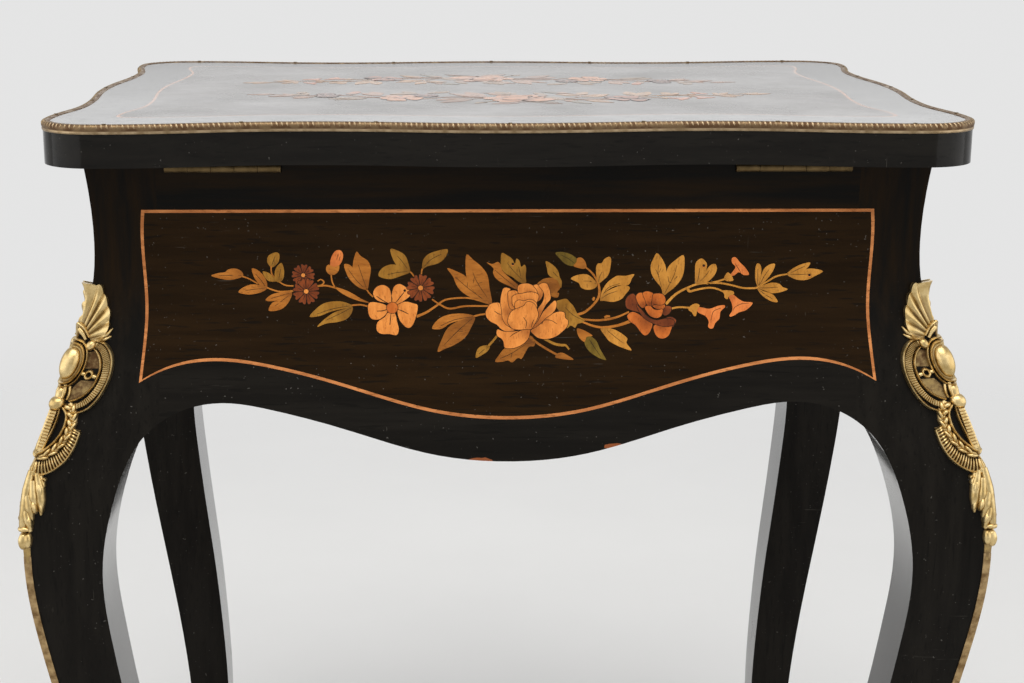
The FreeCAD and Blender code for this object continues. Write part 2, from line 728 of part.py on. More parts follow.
# Brass edging on the ridge and the foot shoe
def ridge_rod(grow, width, z0, z1):
    rod = column("x", grow, 0, 0, reach["y"]).common(column("y", grow, 0, 0, reach["x"]))
    rod = rod.common(box(0, reach["x"], 0, reach["y"], z0, z1))
    rod = rod.cut(column("x", -width, 0, 0, reach["y"])).cut(column("y", -width, 0, 0, reach["x"]))
    return rod.cut(blank_leg)


edging = ridge_rod(edging_thickness, edging_width, sabot_height, mount_base)


def shoe_wall(axis, toe):
    outer = []
    for high, flare in sabot_shares:
        z = high * sabot_height
        out = ridge_out(axis, z) + sabot_thickness + toe * flare
        outer.append(at(axis, out, 0, z))
    inside = []
    for high, flare in sabot_shares[::-1]:
        z = high * sabot_height
        out = inner_out(axis, z) - sabot_thickness - toe * flare / 2
        inside.append(at(axis, out, 0, z))
    wire = Part.Wire([curve(outer), line(outer[-1], inside[0]), curve(inside), line(inside[-1], outer[0])])
    return prism(wire, at(axis, 0, reach[other[axis]], 0))


shoe = shoe_wall("x", sabot_toe).common(shoe_wall("y", sabot_toe))
foot_out = ridge_out("x", sabot_height)
foot_in = inner_out("x", sabot_height)
for axis in "xy":
    across = half[axis] - half["x"]
    low_spot = at(axis, foot_in - sabot_thickness + across, 0, sabot_height - sabot_dip)
    mid_spot = at(axis, (foot_in + foot_out) / 2 + across, 0, sabot_height - sabot_dip / 4)
    high_spot = at(axis, foot_out + 2 * sabot_thickness + across, 0, sabot_height)
    far_spot = at(axis, foot_in - leg_thickness + across, 0, sabot_height - sabot_dip)
    far_top = at(axis, foot_in - leg_thickness + across, 0, 2 * sabot_height)
    end_top = at(axis, foot_out + 2 * sabot_thickness + across, 0, 2 * sabot_height)
    corners = [high_spot, end_top, far_top, far_spot, low_spot]
    sides = [line(start, end) for start, end in zip(corners, corners[1:])]
    wire = Part.Wire([curve([low_spot, mid_spot, high_spot])] + sides)
    shoe = shoe.cut(prism(wire, at(axis, 0, reach[other[axis]], 0)))
shoe = shoe.cut(leg)
for name, axes in corner_turns.items():
    for label, shape in (("corner_mount_", mount), ("leg_edging_", edging), ("sabot_", shoe)):
        made[label + name] = turned(shape, axes)

os.makedirs("parts", exist_ok=True)
for name, shape in made.items():
    shape.exportStep("parts/" + name + ".step")
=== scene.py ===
import bpy, bmesh, math
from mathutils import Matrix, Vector
from mathutils.bvhtree import BVHTree


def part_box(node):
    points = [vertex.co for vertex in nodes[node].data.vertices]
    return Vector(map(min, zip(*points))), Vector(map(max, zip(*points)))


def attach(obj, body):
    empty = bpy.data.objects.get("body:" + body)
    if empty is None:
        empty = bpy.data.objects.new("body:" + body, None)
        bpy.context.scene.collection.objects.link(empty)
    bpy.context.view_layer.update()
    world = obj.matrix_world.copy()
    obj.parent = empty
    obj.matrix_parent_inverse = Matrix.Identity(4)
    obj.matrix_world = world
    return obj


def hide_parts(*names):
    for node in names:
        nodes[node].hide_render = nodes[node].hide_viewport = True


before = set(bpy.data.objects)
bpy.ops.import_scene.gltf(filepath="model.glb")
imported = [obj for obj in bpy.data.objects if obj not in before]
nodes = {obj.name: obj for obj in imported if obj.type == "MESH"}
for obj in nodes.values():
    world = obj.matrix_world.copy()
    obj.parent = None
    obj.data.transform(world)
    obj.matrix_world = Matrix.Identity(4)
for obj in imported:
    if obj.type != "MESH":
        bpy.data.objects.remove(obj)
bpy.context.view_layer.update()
scene = bpy.context.scene
mm = 0.001
print("frame loaded:", len(nodes), "nodes")


# Small helpers for node trees
def put(tree, kind, settings=None, inputs=None):
    made = tree.nodes.new(kind)
    for key, value in (settings or {}).items():
        setattr(made, key, value)
    for key, value in (inputs or {}).items():
        if isinstance(value, bpy.types.NodeSocket):
            tree.links.new(value, made.inputs[key])
        else:
            made.inputs[key].default_value = value
    return made


def calc(tree, operation, a, b):
    return put(tree, "ShaderNodeMath", {"operation": operation}, {0: a, 1: b}).outputs[0]


def mixColour(tree, factor, a, b):
    made = put(tree, "ShaderNodeMix", {"data_type": "RGBA"}, {"Factor": factor, 6: a, 7: b})
    return made.outputs[2]


def ramp(tree, value, low, high):  # 0 below low, 1 above high
    made = put(tree, "ShaderNodeMapRange", {"interpolation_type": "SMOOTHSTEP"},
               {"Value": value, "From Min": low, "From Max": high})
    return made.outputs[0]


def noise(tree, vector, scale, detail, rough=0.55):
    values = {"Vector": vector, "Scale": scale, "Detail": detail, "Roughness": rough}
    return put(tree, "ShaderNodeTexNoise", {}, values).outputs[0]


def stretch(tree, vector, scale):
    return put(tree, "ShaderNodeVectorMath", {"operation": "MULTIPLY"}, {0: vector, 1: scale}).outputs[0]


def tint(tree, base, mask, amount, colour):  # colour laid over the base where the mask is
    return mixColour(tree, calc(tree, "MULTIPLY", mask, amount), base, colour)


def addScaled(tree, base, mask, amount):
    return calc(tree, "ADD", base, calc(tree, "MULTIPLY", mask, amount))


def objectSpot(tree):
    return put(tree, "ShaderNodeTexCoord").outputs["Object"]


def newGroup(name, inputs, outputs):
    group = bpy.data.node_groups.new(name, "ShaderNodeTree")
    kinds = {"f": "NodeSocketFloat", "v": "NodeSocketVector"}
    for label, kind in inputs:
        group.interface.new_socket(name=label, in_out="INPUT", socket_type=kinds[kind])
    for label, kind in outputs:
        group.interface.new_socket(name=label, in_out="OUTPUT", socket_type=kinds[kind])
    return group, group.nodes.new("NodeGroupInput").outputs, group.nodes.new("NodeGroupOutput").inputs


def useGroup(tree, group, inputs):
    return put(tree, "ShaderNodeGroup", {"node_tree": group}, inputs).outputs


# Shared effects
grainGroup, gIn, gOut = newGroup("woodGrain", [("Spot", "v"), ("Stretch", "v"), ("Fineness", "f")],
                                 [("Streak", "f"), ("Pore", "f"), ("Figure", "f")])
grainSpot = put(grainGroup, "ShaderNodeVectorMath", {"operation": "MULTIPLY"},
                {0: gIn["Spot"], 1: gIn["Stretch"]}).outputs[0]
streak = noise(grainGroup, grainSpot, gIn["Fineness"], 7.0, 0.62)
poreSpot = put(grainGroup, "ShaderNodeVectorMath", {"operation": "SCALE"},
               {0: grainSpot, "Scale": 6.0}).outputs[0]
pore = noise(grainGroup, poreSpot, gIn["Fineness"], 2.0, 0.5)
grainGroup.links.new(ramp(grainGroup, streak, 0.35, 0.68), gOut["Streak"])
grainGroup.links.new(ramp(grainGroup, pore, 0.58, 0.68), gOut["Pore"])
grainGroup.links.new(noise(grainGroup, gIn["Spot"], 9.0, 3.0), gOut["Figure"])

polishGroup, pIn, pOut = newGroup("handPolish", [("Spot", "v")],
                                  [("Smudge", "f"), ("Scratch", "f"), ("Dust", "f")])
smudge = noise(polishGroup, pIn["Spot"], 14.0, 5.0, 0.6)
scratchA = noise(polishGroup, stretch(polishGroup, pIn["Spot"], (30.0, 900.0, 700.0)), 1.0, 2.0)
scratchB = noise(polishGroup, stretch(polishGroup, pIn["Spot"], (800.0, 600.0, 26.0)), 1.0, 2.0)
lines = calc(polishGroup, "MAXIMUM", ramp(polishGroup, scratchA, 0.70, 0.76),
             ramp(polishGroup, scratchB, 0.71, 0.77))
patch = ramp(polishGroup, noise(polishGroup, pIn["Spot"], 22.0, 2.0), 0.52, 0.64)
polishGroup.links.new(smudge, pOut["Smudge"])
polishGroup.links.new(calc(polishGroup, "MULTIPLY", lines, patch), pOut["Scratch"])
dust = noise(polishGroup, pIn["Spot"], 520.0, 1.0)
polishGroup.links.new(ramp(polishGroup, dust, 0.74, 0.79), pOut["Dust"])

toneGroup, tIn, tOut = newGroup("castTone", [("Spot", "v"), ("Relief", "f")],
                                [("Deep", "f"), ("Mottle", "f"), ("Pit", "f")])
mottle = noise(toneGroup, tIn["Spot"], 160.0, 5.0, 0.6)
deepBase = calc(toneGroup, "SUBTRACT", 1.0, ramp(toneGroup, tIn["Relief"], 0.05, 0.62))
deep = calc(toneGroup, "MULTIPLY", deepBase, ramp(toneGroup, mottle, 0.22, 0.62))
toneGroup.links.new(deep, tOut["Deep"])
toneGroup.links.new(mottle, tOut["Mottle"])
toneGroup.links.new(noise(toneGroup, tIn["Spot"], 1400.0, 2.0), tOut["Pit"])


# Finishes
def newFinish(name, **values):
    finish = bpy.data.materials.new(name)
    finish.use_nodes = True
    tree = finish.node_tree
    shader = tree.nodes["Principled BSDF"]
    for key, value in values.items():
        shader.inputs[key].default_value = value
    return finish, tree, shader


def bump(tree, shader, height, strength, distance):
    made = put(tree, "ShaderNodeBump", {}, {"Height": height, "Strength": strength, "Distance": distance})
    tree.links.new(made.outputs[0], shader.inputs["Normal"])


def polishedWood(name, look):
    finish, tree, shader = newFinish(name, IOR=look["ior"])
    spot = objectSpot(tree)
    run = {"Spot": spot, "Stretch": look["stretch"], "Fineness": look["fineness"]}
    grain = useGroup(tree, grainGroup, run)
    marks = useGroup(tree, polishGroup, {"Spot": spot})
    colour = mixColour(tree, grain["Streak"], look["dark"], look["light"])
    colour = tint(tree, colour, grain["Figure"], look["figure"], look["warm"])
    colour = tint(tree, colour, grain["Pore"], look["poreDepth"], look["pore"])
    colour = tint(tree, colour, marks["Scratch"], look["scratch"], look["scratchColour"])
    colour = tint(tree, colour, marks["Dust"], look["dust"], look["dustColour"])
    if "riseColour" in look:  # the upper part of the case is browner
        high = ramp(tree, put(tree, "ShaderNodeSeparateXYZ", {}, {0: spot}).outputs["Z"], *look["rise"])
        streaked = mixColour(tree, grain["Streak"], look["pore"], look["riseColour"])
        colour = mixColour(tree, high, colour, streaked)
    for x, y, z, reach in look.get("chips", ()):  # bare wood showing where the edge is knocked
        away = put(tree, "ShaderNodeVectorMath", {"operation": "SUBTRACT"},
                   {0: spot, 1: (x, y, z)}).outputs[0]
        away = stretch(tree, away, look["chipLong"])
        far = put(tree, "ShaderNodeVectorMath", {"operation": "LENGTH"}, {0: away}).outputs["Value"]
        near = calc(tree, "SUBTRACT", 1.0, ramp(tree, far, reach * 0.35, reach))
        ragged = calc(tree, "ADD", near, calc(tree, "SUBTRACT", noise(tree, spot, 330.0, 4.0), 0.5))
        colour = mixColour(tree, ramp(tree, ragged, 0.55, 0.66), colour, look["chipColour"])
    tree.links.new(colour, shader.inputs["Base Color"])
    rough = addScaled(tree, look["rough"], marks["Smudge"], look["smudge"])
    rough = addScaled(tree, rough, marks["Scratch"], 0.25)
    tree.links.new(rough, shader.inputs["Roughness"])
    if "sheen" in look:  # the polish shows at a low angle
        facing = put(tree, "ShaderNodeLayerWeight", {}, {"Blend": 0.5}).outputs["Facing"]
        tree.links.new(ramp(tree, facing, *look["sheen"]), shader.inputs["Coat Weight"])
        shader.inputs["Coat Roughness"].default_value = look["coatRough"]
    height = calc(tree, "SUBTRACT", calc(tree, "MULTIPLY", grain["Streak"], 0.25),
                  calc(tree, "MULTIPLY", grain["Pore"], 0.8))
    height = calc(tree, "SUBTRACT", height, marks["Scratch"])
    bump(tree, shader, height, look["bump"], woodDepth)
    return finish


woodDepth, castDepth = 0.0002, 0.0003  # how deep the bumps go, in metres
lengthGrain, sideGrain = (4.0, 55.0, 55.0), (55.0, 4.0, 55.0)  # grain along x, and along y on the sides
ebonyLook = {"ior": 1.14, "stretch": (60.0, 60.0, 4.0), "fineness": 1.6, "dark": (0.005, 0.0046, 0.004, 1),
             "light": (0.0095, 0.0085, 0.007, 1), "warm": (0.015, 0.011, 0.007, 1), "figure": 0.25,
             "pore": (0.004, 0.0036, 0.003, 1), "poreDepth": 0.6, "scratch": 0.35,
             "scratchColour": (0.1, 0.09, 0.075, 1), "dust": 0.2, "dustColour": (0.3, 0.28, 0.25, 1),
             "rough": 0.14, "smudge": 0.2, "bump": 0.1}
lidLook = dict(ebonyLook, ior=1.2, stretch=lengthGrain, rough=0.07, smudge=0.13)
fieldLook = dict(ebonyLook, ior=1.12, stretch=lengthGrain, fineness=1.9, dark=(0.0065, 0.0038, 0.0016, 1),
                 light=(0.0165, 0.0088, 0.0032, 1), warm=(0.024, 0.011, 0.0034, 1), figure=0.5, rough=0.2)
topLook = dict(fieldLook, ior=1.4, rough=0.16)
legLook = dict(ebonyLook, sheen=(0.55, 0.85), coatRough=0.1, rise=(0.56, 0.64),
               riseColour=(0.0125, 0.0068, 0.0026, 1))
apronLook = dict(legLook, stretch=lengthGrain, chipColour=(0.22, 0.066, 0.024, 1),
                 chipLong=(0.26, 1.0, 1.0),
                 chips=((-0.0185, -0.2362, 0.5112, 0.0034), (0.0695, -0.2334, 0.52, 0.003)))
insideLook = dict(ebonyLook, stretch=(4.0, 40.0, 40.0), dark=(0.13, 0.05, 0.02, 1),
                  light=(0.27, 0.12, 0.05, 1), warm=(0.32, 0.15, 0.06, 1), pore=(0.05, 0.02, 0.008, 1),
                  scratchColour=(0.4, 0.25, 0.14, 1), rough=0.36)
stringLook = dict(ebonyLook, stretch=(20.0, 90.0, 90.0), dark=(0.36, 0.125, 0.04, 1),
                  light=(0.6, 0.235, 0.08, 1), warm=(0.5, 0.2, 0.07, 1), pore=(0.2, 0.07, 0.02, 1),
                  scratch=0.2, dust=0.1)
lidStringLook = dict(stringLook, ior=1.4, rough=0.16, dark=(0.2, 0.085, 0.04, 1),
                     light=(0.3, 0.14, 0.07, 1), warm=(0.26, 0.12, 0.06, 1))
woods = (("ebony", "ebonisedWood", legLook), ("lid", "ebonisedLid", lidLook), ("top", "topVeneer", topLook),
         ("apron", "ebonisedApron", apronLook), ("field", "fieldVeneer", fieldLook),
         ("inside", "insideWood", insideLook), ("string", "stringWood", stringLook),
         ("lidString", "lidStringWood", lidStringLook),
         ("sideApron", "ebonisedSide", dict(legLook, stretch=sideGrain)),
         ("sideField", "sideVeneer", dict(fieldLook, stretch=sideGrain)))
finishes = {key: polishedWood(label, look) for key, label, look in woods}


def inlayWood(name, look, gloss, strength):  # dyed veneer, scorched where the shade attribute is high
    finish, tree, shader = newFinish(name, IOR=gloss)
    spot = objectSpot(tree)
    grain = useGroup(tree, grainGroup, {"Spot": spot, "Stretch": look["stretch"], "Fineness": 3.0})
    marks = useGroup(tree, polishGroup, {"Spot": spot})
    shade = put(tree, "ShaderNodeAttribute", {"attribute_name": "shade"}).outputs["Fac"]
    tones = {key: tuple(value * strength for value in look[key]) + (1,)
             for key in ("dark", "light", "scorch")}
    colour = mixColour(tree, grain["Streak"], tones["dark"], tones["light"])
    colour = tint(tree, colour, shade, look["burn"], tones["scorch"])
    colour = tint(tree, colour, grain["Pore"], 0.4, tones["scorch"])
    tree.links.new(colour, shader.inputs["Base Color"])
    rough = addScaled(tree, 0.18, marks["Smudge"], 0.2)
    tree.links.new(rough, shader.inputs["Roughness"])
    bump(tree, shader, calc(tree, "SUBTRACT", grain["Streak"], grain["Pore"]), 0.12, woodDepth)
    return finish


# run of the grain
upright, lengthwise, slanting = (60.0, 60.0, 9.0), (14.0, 60.0, 60.0), (50.0, 60.0, 16.0)
inlayLooks = {
    "petal": {"dark": (0.58, 0.19, 0.036), "light": (0.76, 0.275, 0.058), "scorch": (0.22, 0.055, 0.01),
              "burn": 0.9, "stretch": upright},
    "tan": {"dark": (0.32, 0.105, 0.014), "light": (0.46, 0.165, 0.026), "scorch": (0.11, 0.032, 0.006),
            "burn": 0.85, "stretch": lengthwise},
    "gold": {"dark": (0.25, 0.108, 0.013), "light": (0.36, 0.17, 0.024), "scorch": (0.09, 0.036, 0.006),
             "burn": 0.8, "stretch": slanting},
    "honey": {"dark": (0.41, 0.172, 0.025), "light": (0.57, 0.252, 0.043), "scorch": (0.15, 0.058, 0.009),
              "burn": 0.8, "stretch": slanting},
    "olive": {"dark": (0.1, 0.062, 0.008), "light": (0.175, 0.11, 0.015), "scorch": (0.045, 0.026, 0.005),
              "burn": 0.7, "stretch": slanting},
    "brown": {"dark": (0.22, 0.072, 0.01), "light": (0.32, 0.112, 0.017), "scorch": (0.07, 0.02, 0.005),
              "burn": 0.85, "stretch": lengthwise},
    "russet": {"dark": (0.15, 0.032, 0.008), "light": (0.25, 0.058, 0.014), "scorch": (0.035, 0.009, 0.004),
               "burn": 0.85, "stretch": slanting},
    "rust": {"dark": (0.42, 0.1, 0.016), "light": (0.56, 0.15, 0.026), "scorch": (0.1, 0.02, 0.005),
             "burn": 0.9, "stretch": slanting},
    "orange": {"dark": (0.56, 0.15, 0.034), "light": (0.72, 0.22, 0.055), "scorch": (0.26, 0.06, 0.014),
               "burn": 0.8, "stretch": slanting},
    "line": {"dark": (0.01, 0.006, 0.003), "light": (0.018, 0.01, 0.004), "scorch": (0.01, 0.006, 0.003),
             "burn": 0.5, "stretch": slanting},
}
inlayOrder = list(inlayLooks)
inlayFinishes = [inlayWood("inlay_" + tone, inlayLooks[tone], gloss=1.25, strength=1.0)
                 for tone in inlayOrder]
# the lid's inlay is bleached by light
fadedFinishes = [inlayWood("faded_" + tone, inlayLooks[tone], gloss=1.4, strength=0.5)
                 for tone in inlayOrder]


def castMetal(name, look):
    finish, tree, shader = newFinish(name, Metallic=1.0)
    spot = objectSpot(tree)
    relief = look["relief"]
    if relief is None:  # taken from the piece itself
        relief = put(tree, "ShaderNodeAttribute", {"attribute_name": "relief"}).outputs["Fac"]
    tone = useGroup(tree, toneGroup, {"Spot": spot, "Relief": relief})
    colour = mixColour(tree, ramp(tree, tone["Mottle"], 0.3, 0.7), look["low"], look["high"])
    colour = tint(tree, colour, tone["Deep"], look["dirt"], look["grime"])
    tree.links.new(colour, shader.inputs["Base Color"])
    rough = addScaled(tree, look["rough"], tone["Mottle"], look["roughSpread"])
    tree.links.new(addScaled(tree, rough, tone["Deep"], 0.25), shader.inputs["Roughness"])
    bump(tree, shader, addScaled(tree, tone["Pit"], tone["Mottle"], 0.6), look["bump"], castDepth)
    return finish


giltLook = {"low": (0.41, 0.285, 0.112, 1), "high": (0.63, 0.48, 0.235, 1), "grime": (0.07, 0.03, 0.012, 1),
            "dirt": 0.95, "rough": 0.24, "roughSpread": 0.2, "bump": 0.12, "relief": None}
rimTone = dict(giltLook, low=(0.2, 0.137, 0.072, 1), high=(0.38, 0.285, 0.175, 1), rough=0.3)
edgeTone = dict(giltLook, low=(0.15, 0.088, 0.036, 1), high=(0.56, 0.4, 0.2, 1), rough=0.26,
                relief=0.42, bump=0.6)
# hinges and lock fittings: low and high colours darkened as painted shade, standing in for the shadow they
# sit in
shadedFittingTone = dict(giltLook, low=(0.078, 0.053, 0.023, 1), high=(0.17, 0.12, 0.054, 1),
                   rough=0.36, relief=0.45)
steelTone = dict(giltLook, low=(0.28, 0.26, 0.24, 1), high=(0.45, 0.43, 0.4, 1), rough=0.32, relief=0.4)
metals = (("gilt", "giltBronze", giltLook), ("rim", "rimBrass", rimTone), ("edging", "edgeBrass", edgeTone),
          ("shadedFitting", "hingeBrassPaintedShade", shadedFittingTone), ("steel", "lockSteel", steelTone))
finishes.update({key: castMetal(label, look) for key, label, look in metals})
giltFrame, tree, shader = newFinish("giltFrame", Metallic=0.85)
tone = useGroup(tree, toneGroup, {"Spot": objectSpot(tree), "Relief": 0.4})
colour = tint(tree, (0.7, 0.46, 0.17, 1), tone["Deep"], 0.7, (0.22, 0.08, 0.03, 1))
tree.links.new(colour, shader.inputs["Base Color"])
tree.links.new(addScaled(tree, 0.25, tone["Mottle"], 0.3), shader.inputs["Roughness"])
bump(tree, shader, tone["Pit"], 0.15, castDepth)
silver, tree, shader = newFinish("silveredGlass", Metallic=1.0)
foxing = ramp(tree, noise(tree, objectSpot(tree), 60.0, 6.0, 0.7), 0.66, 0.76)
tree.links.new(mixColour(tree, foxing, (0.86, 0.88, 0.87, 1), (0.3, 0.28, 0.24, 1)),
               shader.inputs["Base Color"])
tree.links.new(addScaled(tree, 0.015, foxing, 0.3), shader.inputs["Roughness"])
finishes["frame"] = giltFrame
finishes["mirror"] = silver
print("finishes made:", len(finishes) + 2 * len(inlayFinishes))


# Pieces made from a bmesh
def newPiece(name, work, *coats):
    mesh = bpy.data.meshes.new(name)
    work.to_mesh(mesh)
    work.free()
    for finish in coats:
        mesh.materials.append(finish)
    piece = bpy.data.objects.new(name, mesh)
    scene.collection.objects.link(piece)
    return piece


def shadeSmooth(work, sharp):  # smooth but for edges sharper than this many degrees
    for face in work.faces:
        face.smooth = True
        face.material_index = 0
    for edge in work.edges:
        if len(edge.link_faces) != 2 or edge.calc_face_angle(0.0) > math.radians(sharp):
            edge.smooth = False


# CAD pieces carried over with smooth shading
def smoothCopy(name, finish, body, sharp=32.0, relief=None):
    work = bmesh.new()
    work.from_mesh(nodes[name].data)
    bmesh.ops.remove_doubles(work, verts=work.verts, dist=2e-6)
    shadeSmooth(work, sharp)
    piece = newPiece(name + "_shown", work, finish)
    if relief is not None:
        values = piece.data.attributes.new("relief", "FLOAT", "POINT").data
        values.foreach_set("value", [relief] * len(values))
    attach(piece, body)
    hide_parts(name)


def dress(name, finish):
    data = nodes[name].data
    data.materials.clear()
    data.materials.append(finish)


corners = [(a + "_" + b, (1 if b == "right" else -1), (1 if a == "front" else -1))
           for a in ("back", "front") for b in ("left", "right")]
brassFittings = ("lock_case", "lock_strike", "lock_screws", "strike_screws",
                 "keyhole_escutcheon", "rim_pins")
caseFinish = {"apron": "apron", "field": "field", "stringing": "string"}
sideFinish = {"apron": "sideApron", "field": "sideField", "stringing": "string"}  # grain along y
for side, chosen in (("back", caseFinish), ("front", caseFinish), ("left", sideFinish),
                     ("right", sideFinish)):
    for part, finish in chosen.items():
        smoothCopy(side + "_" + part, finishes[finish], "case")
for corner, sx, sy in corners:
    smoothCopy("leg_" + corner, finishes["ebony"], "case")
    smoothCopy("leg_edging_" + corner, finishes["edging"], "case", sharp=50.0)
for name, finish in (("lid_board", "lid"), ("lid_field", "top"), ("lid_stringing", "lidString")):
    smoothCopy(name, finishes[finish], "lid")
for name in nodes:
    if "partition" in name or name == "well_floor":
        dress(name, finishes["inside"])
    # hinges and lock fittings get the finish darkened with painted shade
    elif "hinge" in name or name in brassFittings:
        dress(name, finishes["shadedFitting"])
    elif name in ("lock_key", "lock_bolt"):
        dress(name, finishes["steel"])
dress("mirror_glass", finishes["mirror"])
dress("mirror_frame", finishes["frame"])
print("carried-over pieces dressed")


# Surfaces that inlay and mounts lie on
def treeOf(names):
    work = bmesh.new()
    for name in names:
        work.from_mesh(nodes[name].data)
    made = BVHTree.FromBMesh(work)
    work.free()
    return made


backSkin = treeOf(["back_apron", "back_field", "back_stringing", "leg_back_left", "leg_back_right"])
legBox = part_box("leg_front_right")
sideGap = legBox[1].x - legBox[1].y  # how much farther out the side faces stand than the back and front
outside, besideRidge = 0.6, 0.004  # rays start this far out, and this far beside the ridge
ridgeFoot = 5  # the lowest height of a ridge line, in millimetres


def backFace(x, z):  # y of the back of the case
    return backSkin.ray_cast(Vector((x, -outside, z)), Vector((0, 1, 0)))[0].y


def ridgeLine(skin, top):  # the ridge's y for each millimetre of height, from rays slanting in beside it
    line = []
    inward = Vector((-1, -1, 0)).normalized()
    for step in range(ridgeFoot, top):
        spot = skin.ray_cast(Vector((outside - besideRidge + sideGap, outside, step * mm)), inward)[0]
        line.append(spot.y if spot else line[-1])
    return line


def ridgeY(line, z):
    place = min(max(z / mm - ridgeFoot, 0.0), len(line) - 1.001)
    low = int(place)
    return line[low] + (line[low + 1] - line[low]) * (place - low)


def ridgeSlope(line, z):
    step = 0.004
    return (ridgeY(line, z + step) - ridgeY(line, z - step)) / (2 * step)


legTop, shoeTop = 702, 90  # in millimetres
legRidge = ridgeLine(treeOf(["leg_front_right"]), legTop)
shoeRidge = ridgeLine(treeOf(["sabot_front_right", "leg_front_right"]), shoeTop)


# Marquetry: a flower spray drawn on three sheets, each with its own corner and scale
sheets = {"left": (200.0, 240.0, 4.9), "middle": (470.0, 240.0, 7.127), "right": (620.0, 240.0, 7.127)}
drawing = {"middleU": 512.0, "middleX": 2.5, "stepX": 0.656, "levelV": 240.0, "levelZ": 649.7,
           "stepZ": 0.631,
           "lift": 0.00012, "layer": 0.00003, "foot": 0.00008, "fine": 6.0}
cuts = []


def onSheet(sheet, spot):
    u, v, scale = sheets[sheet]
    return Vector((u + spot[0] / scale, v + spot[1] / scale))


def curvePoints(points, steps, closed=False):  # smooth line through given points
    points = [Vector(spot) for spot in points]
    ends = [points[-1]] + points + points[:2] if closed else [points[0]] + points + [points[-1]]
    out = []
    for p0, p1, p2, p3 in zip(ends, ends[1:], ends[2:], ends[3:]):
        for step in range(steps):
            t = step / steps
            bend, twist = 2 * p0 - 5 * p1 + 4 * p2 - p3, 3 * p1 - p0 - 3 * p2 + p3
            out.append(0.5 * (2 * p1 + (p2 - p0) * t + bend * t * t + twist * t ** 3))
    return out if closed else out + [points[-1]]


def strip(path, width, closed=False):  # pairs of points on either side of a path
    pairs = []
    count = len(path)
    for index, spot in enumerate(path):
        before = path[index - 1] if closed or index else spot
        after = path[(index + 1) % count] if closed or index < count - 1 else spot
        ahead = (after - before).normalized()
        across = Vector((-ahead.y, ahead.x)) * tableValue(width, index / (count - 1)) / 2
        pairs.append((spot + across, spot - across))
    return pairs + pairs[:1] if closed else pairs


def tableValue(table, share):
    if not isinstance(table, (list, tuple)):
        return table
    place = share * (len(table) - 1)
    low = min(int(place), len(table) - 2)
    return table[low] + (table[low + 1] - table[low]) * (place - low)


def veneer(sheet, tone, points, burns, veins=(), layer=0, outlined=False, line=0.55):
    scale = sheets[sheet][2]
    edge = [onSheet(sheet, spot) for spot in curvePoints(points, 3, True)]
    marks = [(onSheet(sheet, (x, y)), far / scale, deep) for x, y, far, deep in burns]
    cuts.append({"edge": edge, "tone": tone, "marks": marks, "layer": layer})
    if outlined:
        cuts.append({"pairs": strip(edge, 0.5, True), "tone": "line", "marks": (), "layer": layer + 0.5})
    for vein in veins:
        path = [onSheet(sheet, spot) for spot in curvePoints(vein, 3)]
        pairs = strip(path, [line * 0.7, line, line * 0.5])
        cuts.append({"pairs": pairs, "tone": "line", "marks": (), "layer": layer + 0.6})


def stalk(sheet, points, width, tone="tan"):
    path = [onSheet(sheet, spot) for spot in curvePoints(points, 5)]
    cuts.append({"pairs": strip(path, width), "tone": tone, "marks": (), "layer": 0})


def ringOf(x, y, reach, count):  # points round a circle
    angles = [2 * math.pi * k / count for k in range(count)]
    return [(x + reach * math.cos(angle), y + reach * math.sin(angle)) for angle in angles]


def roundel(sheet, x, y, reach, tone, layer):
    veneer(sheet, tone, ringOf(x, y, reach, 6), (), (), layer, True)


starPetal = ((0.14, 0.0), (0.5, 0.2), (0.92, 0.3), (1.0, 0.14), (0.9, 0.0), (1.0, -0.14),
             (0.92, -0.3), (0.5, -0.2))


def starFlower(sheet, x, y, reach, turn, layer):  # small flower of eight notched petals
    middle = Vector((x, y))
    for k in range(8):
        angle = turn + k * math.pi / 4
        way, side = Vector((math.cos(angle), math.sin(angle))), Vector((-math.sin(angle), math.cos(angle)))
        rim = [middle + way * reach * a + side * reach * b for a, b in starPetal]
        vein = [middle + way * reach * far for far in (0.3, 0.7)]
        veneer(sheet, "russet", rim, [(x, y, reach * 0.75, 0.8)], [vein], layer + k % 2, True, 0.45)
    roundel(sheet, x, y, reach * 0.2, "petal", layer + 2)


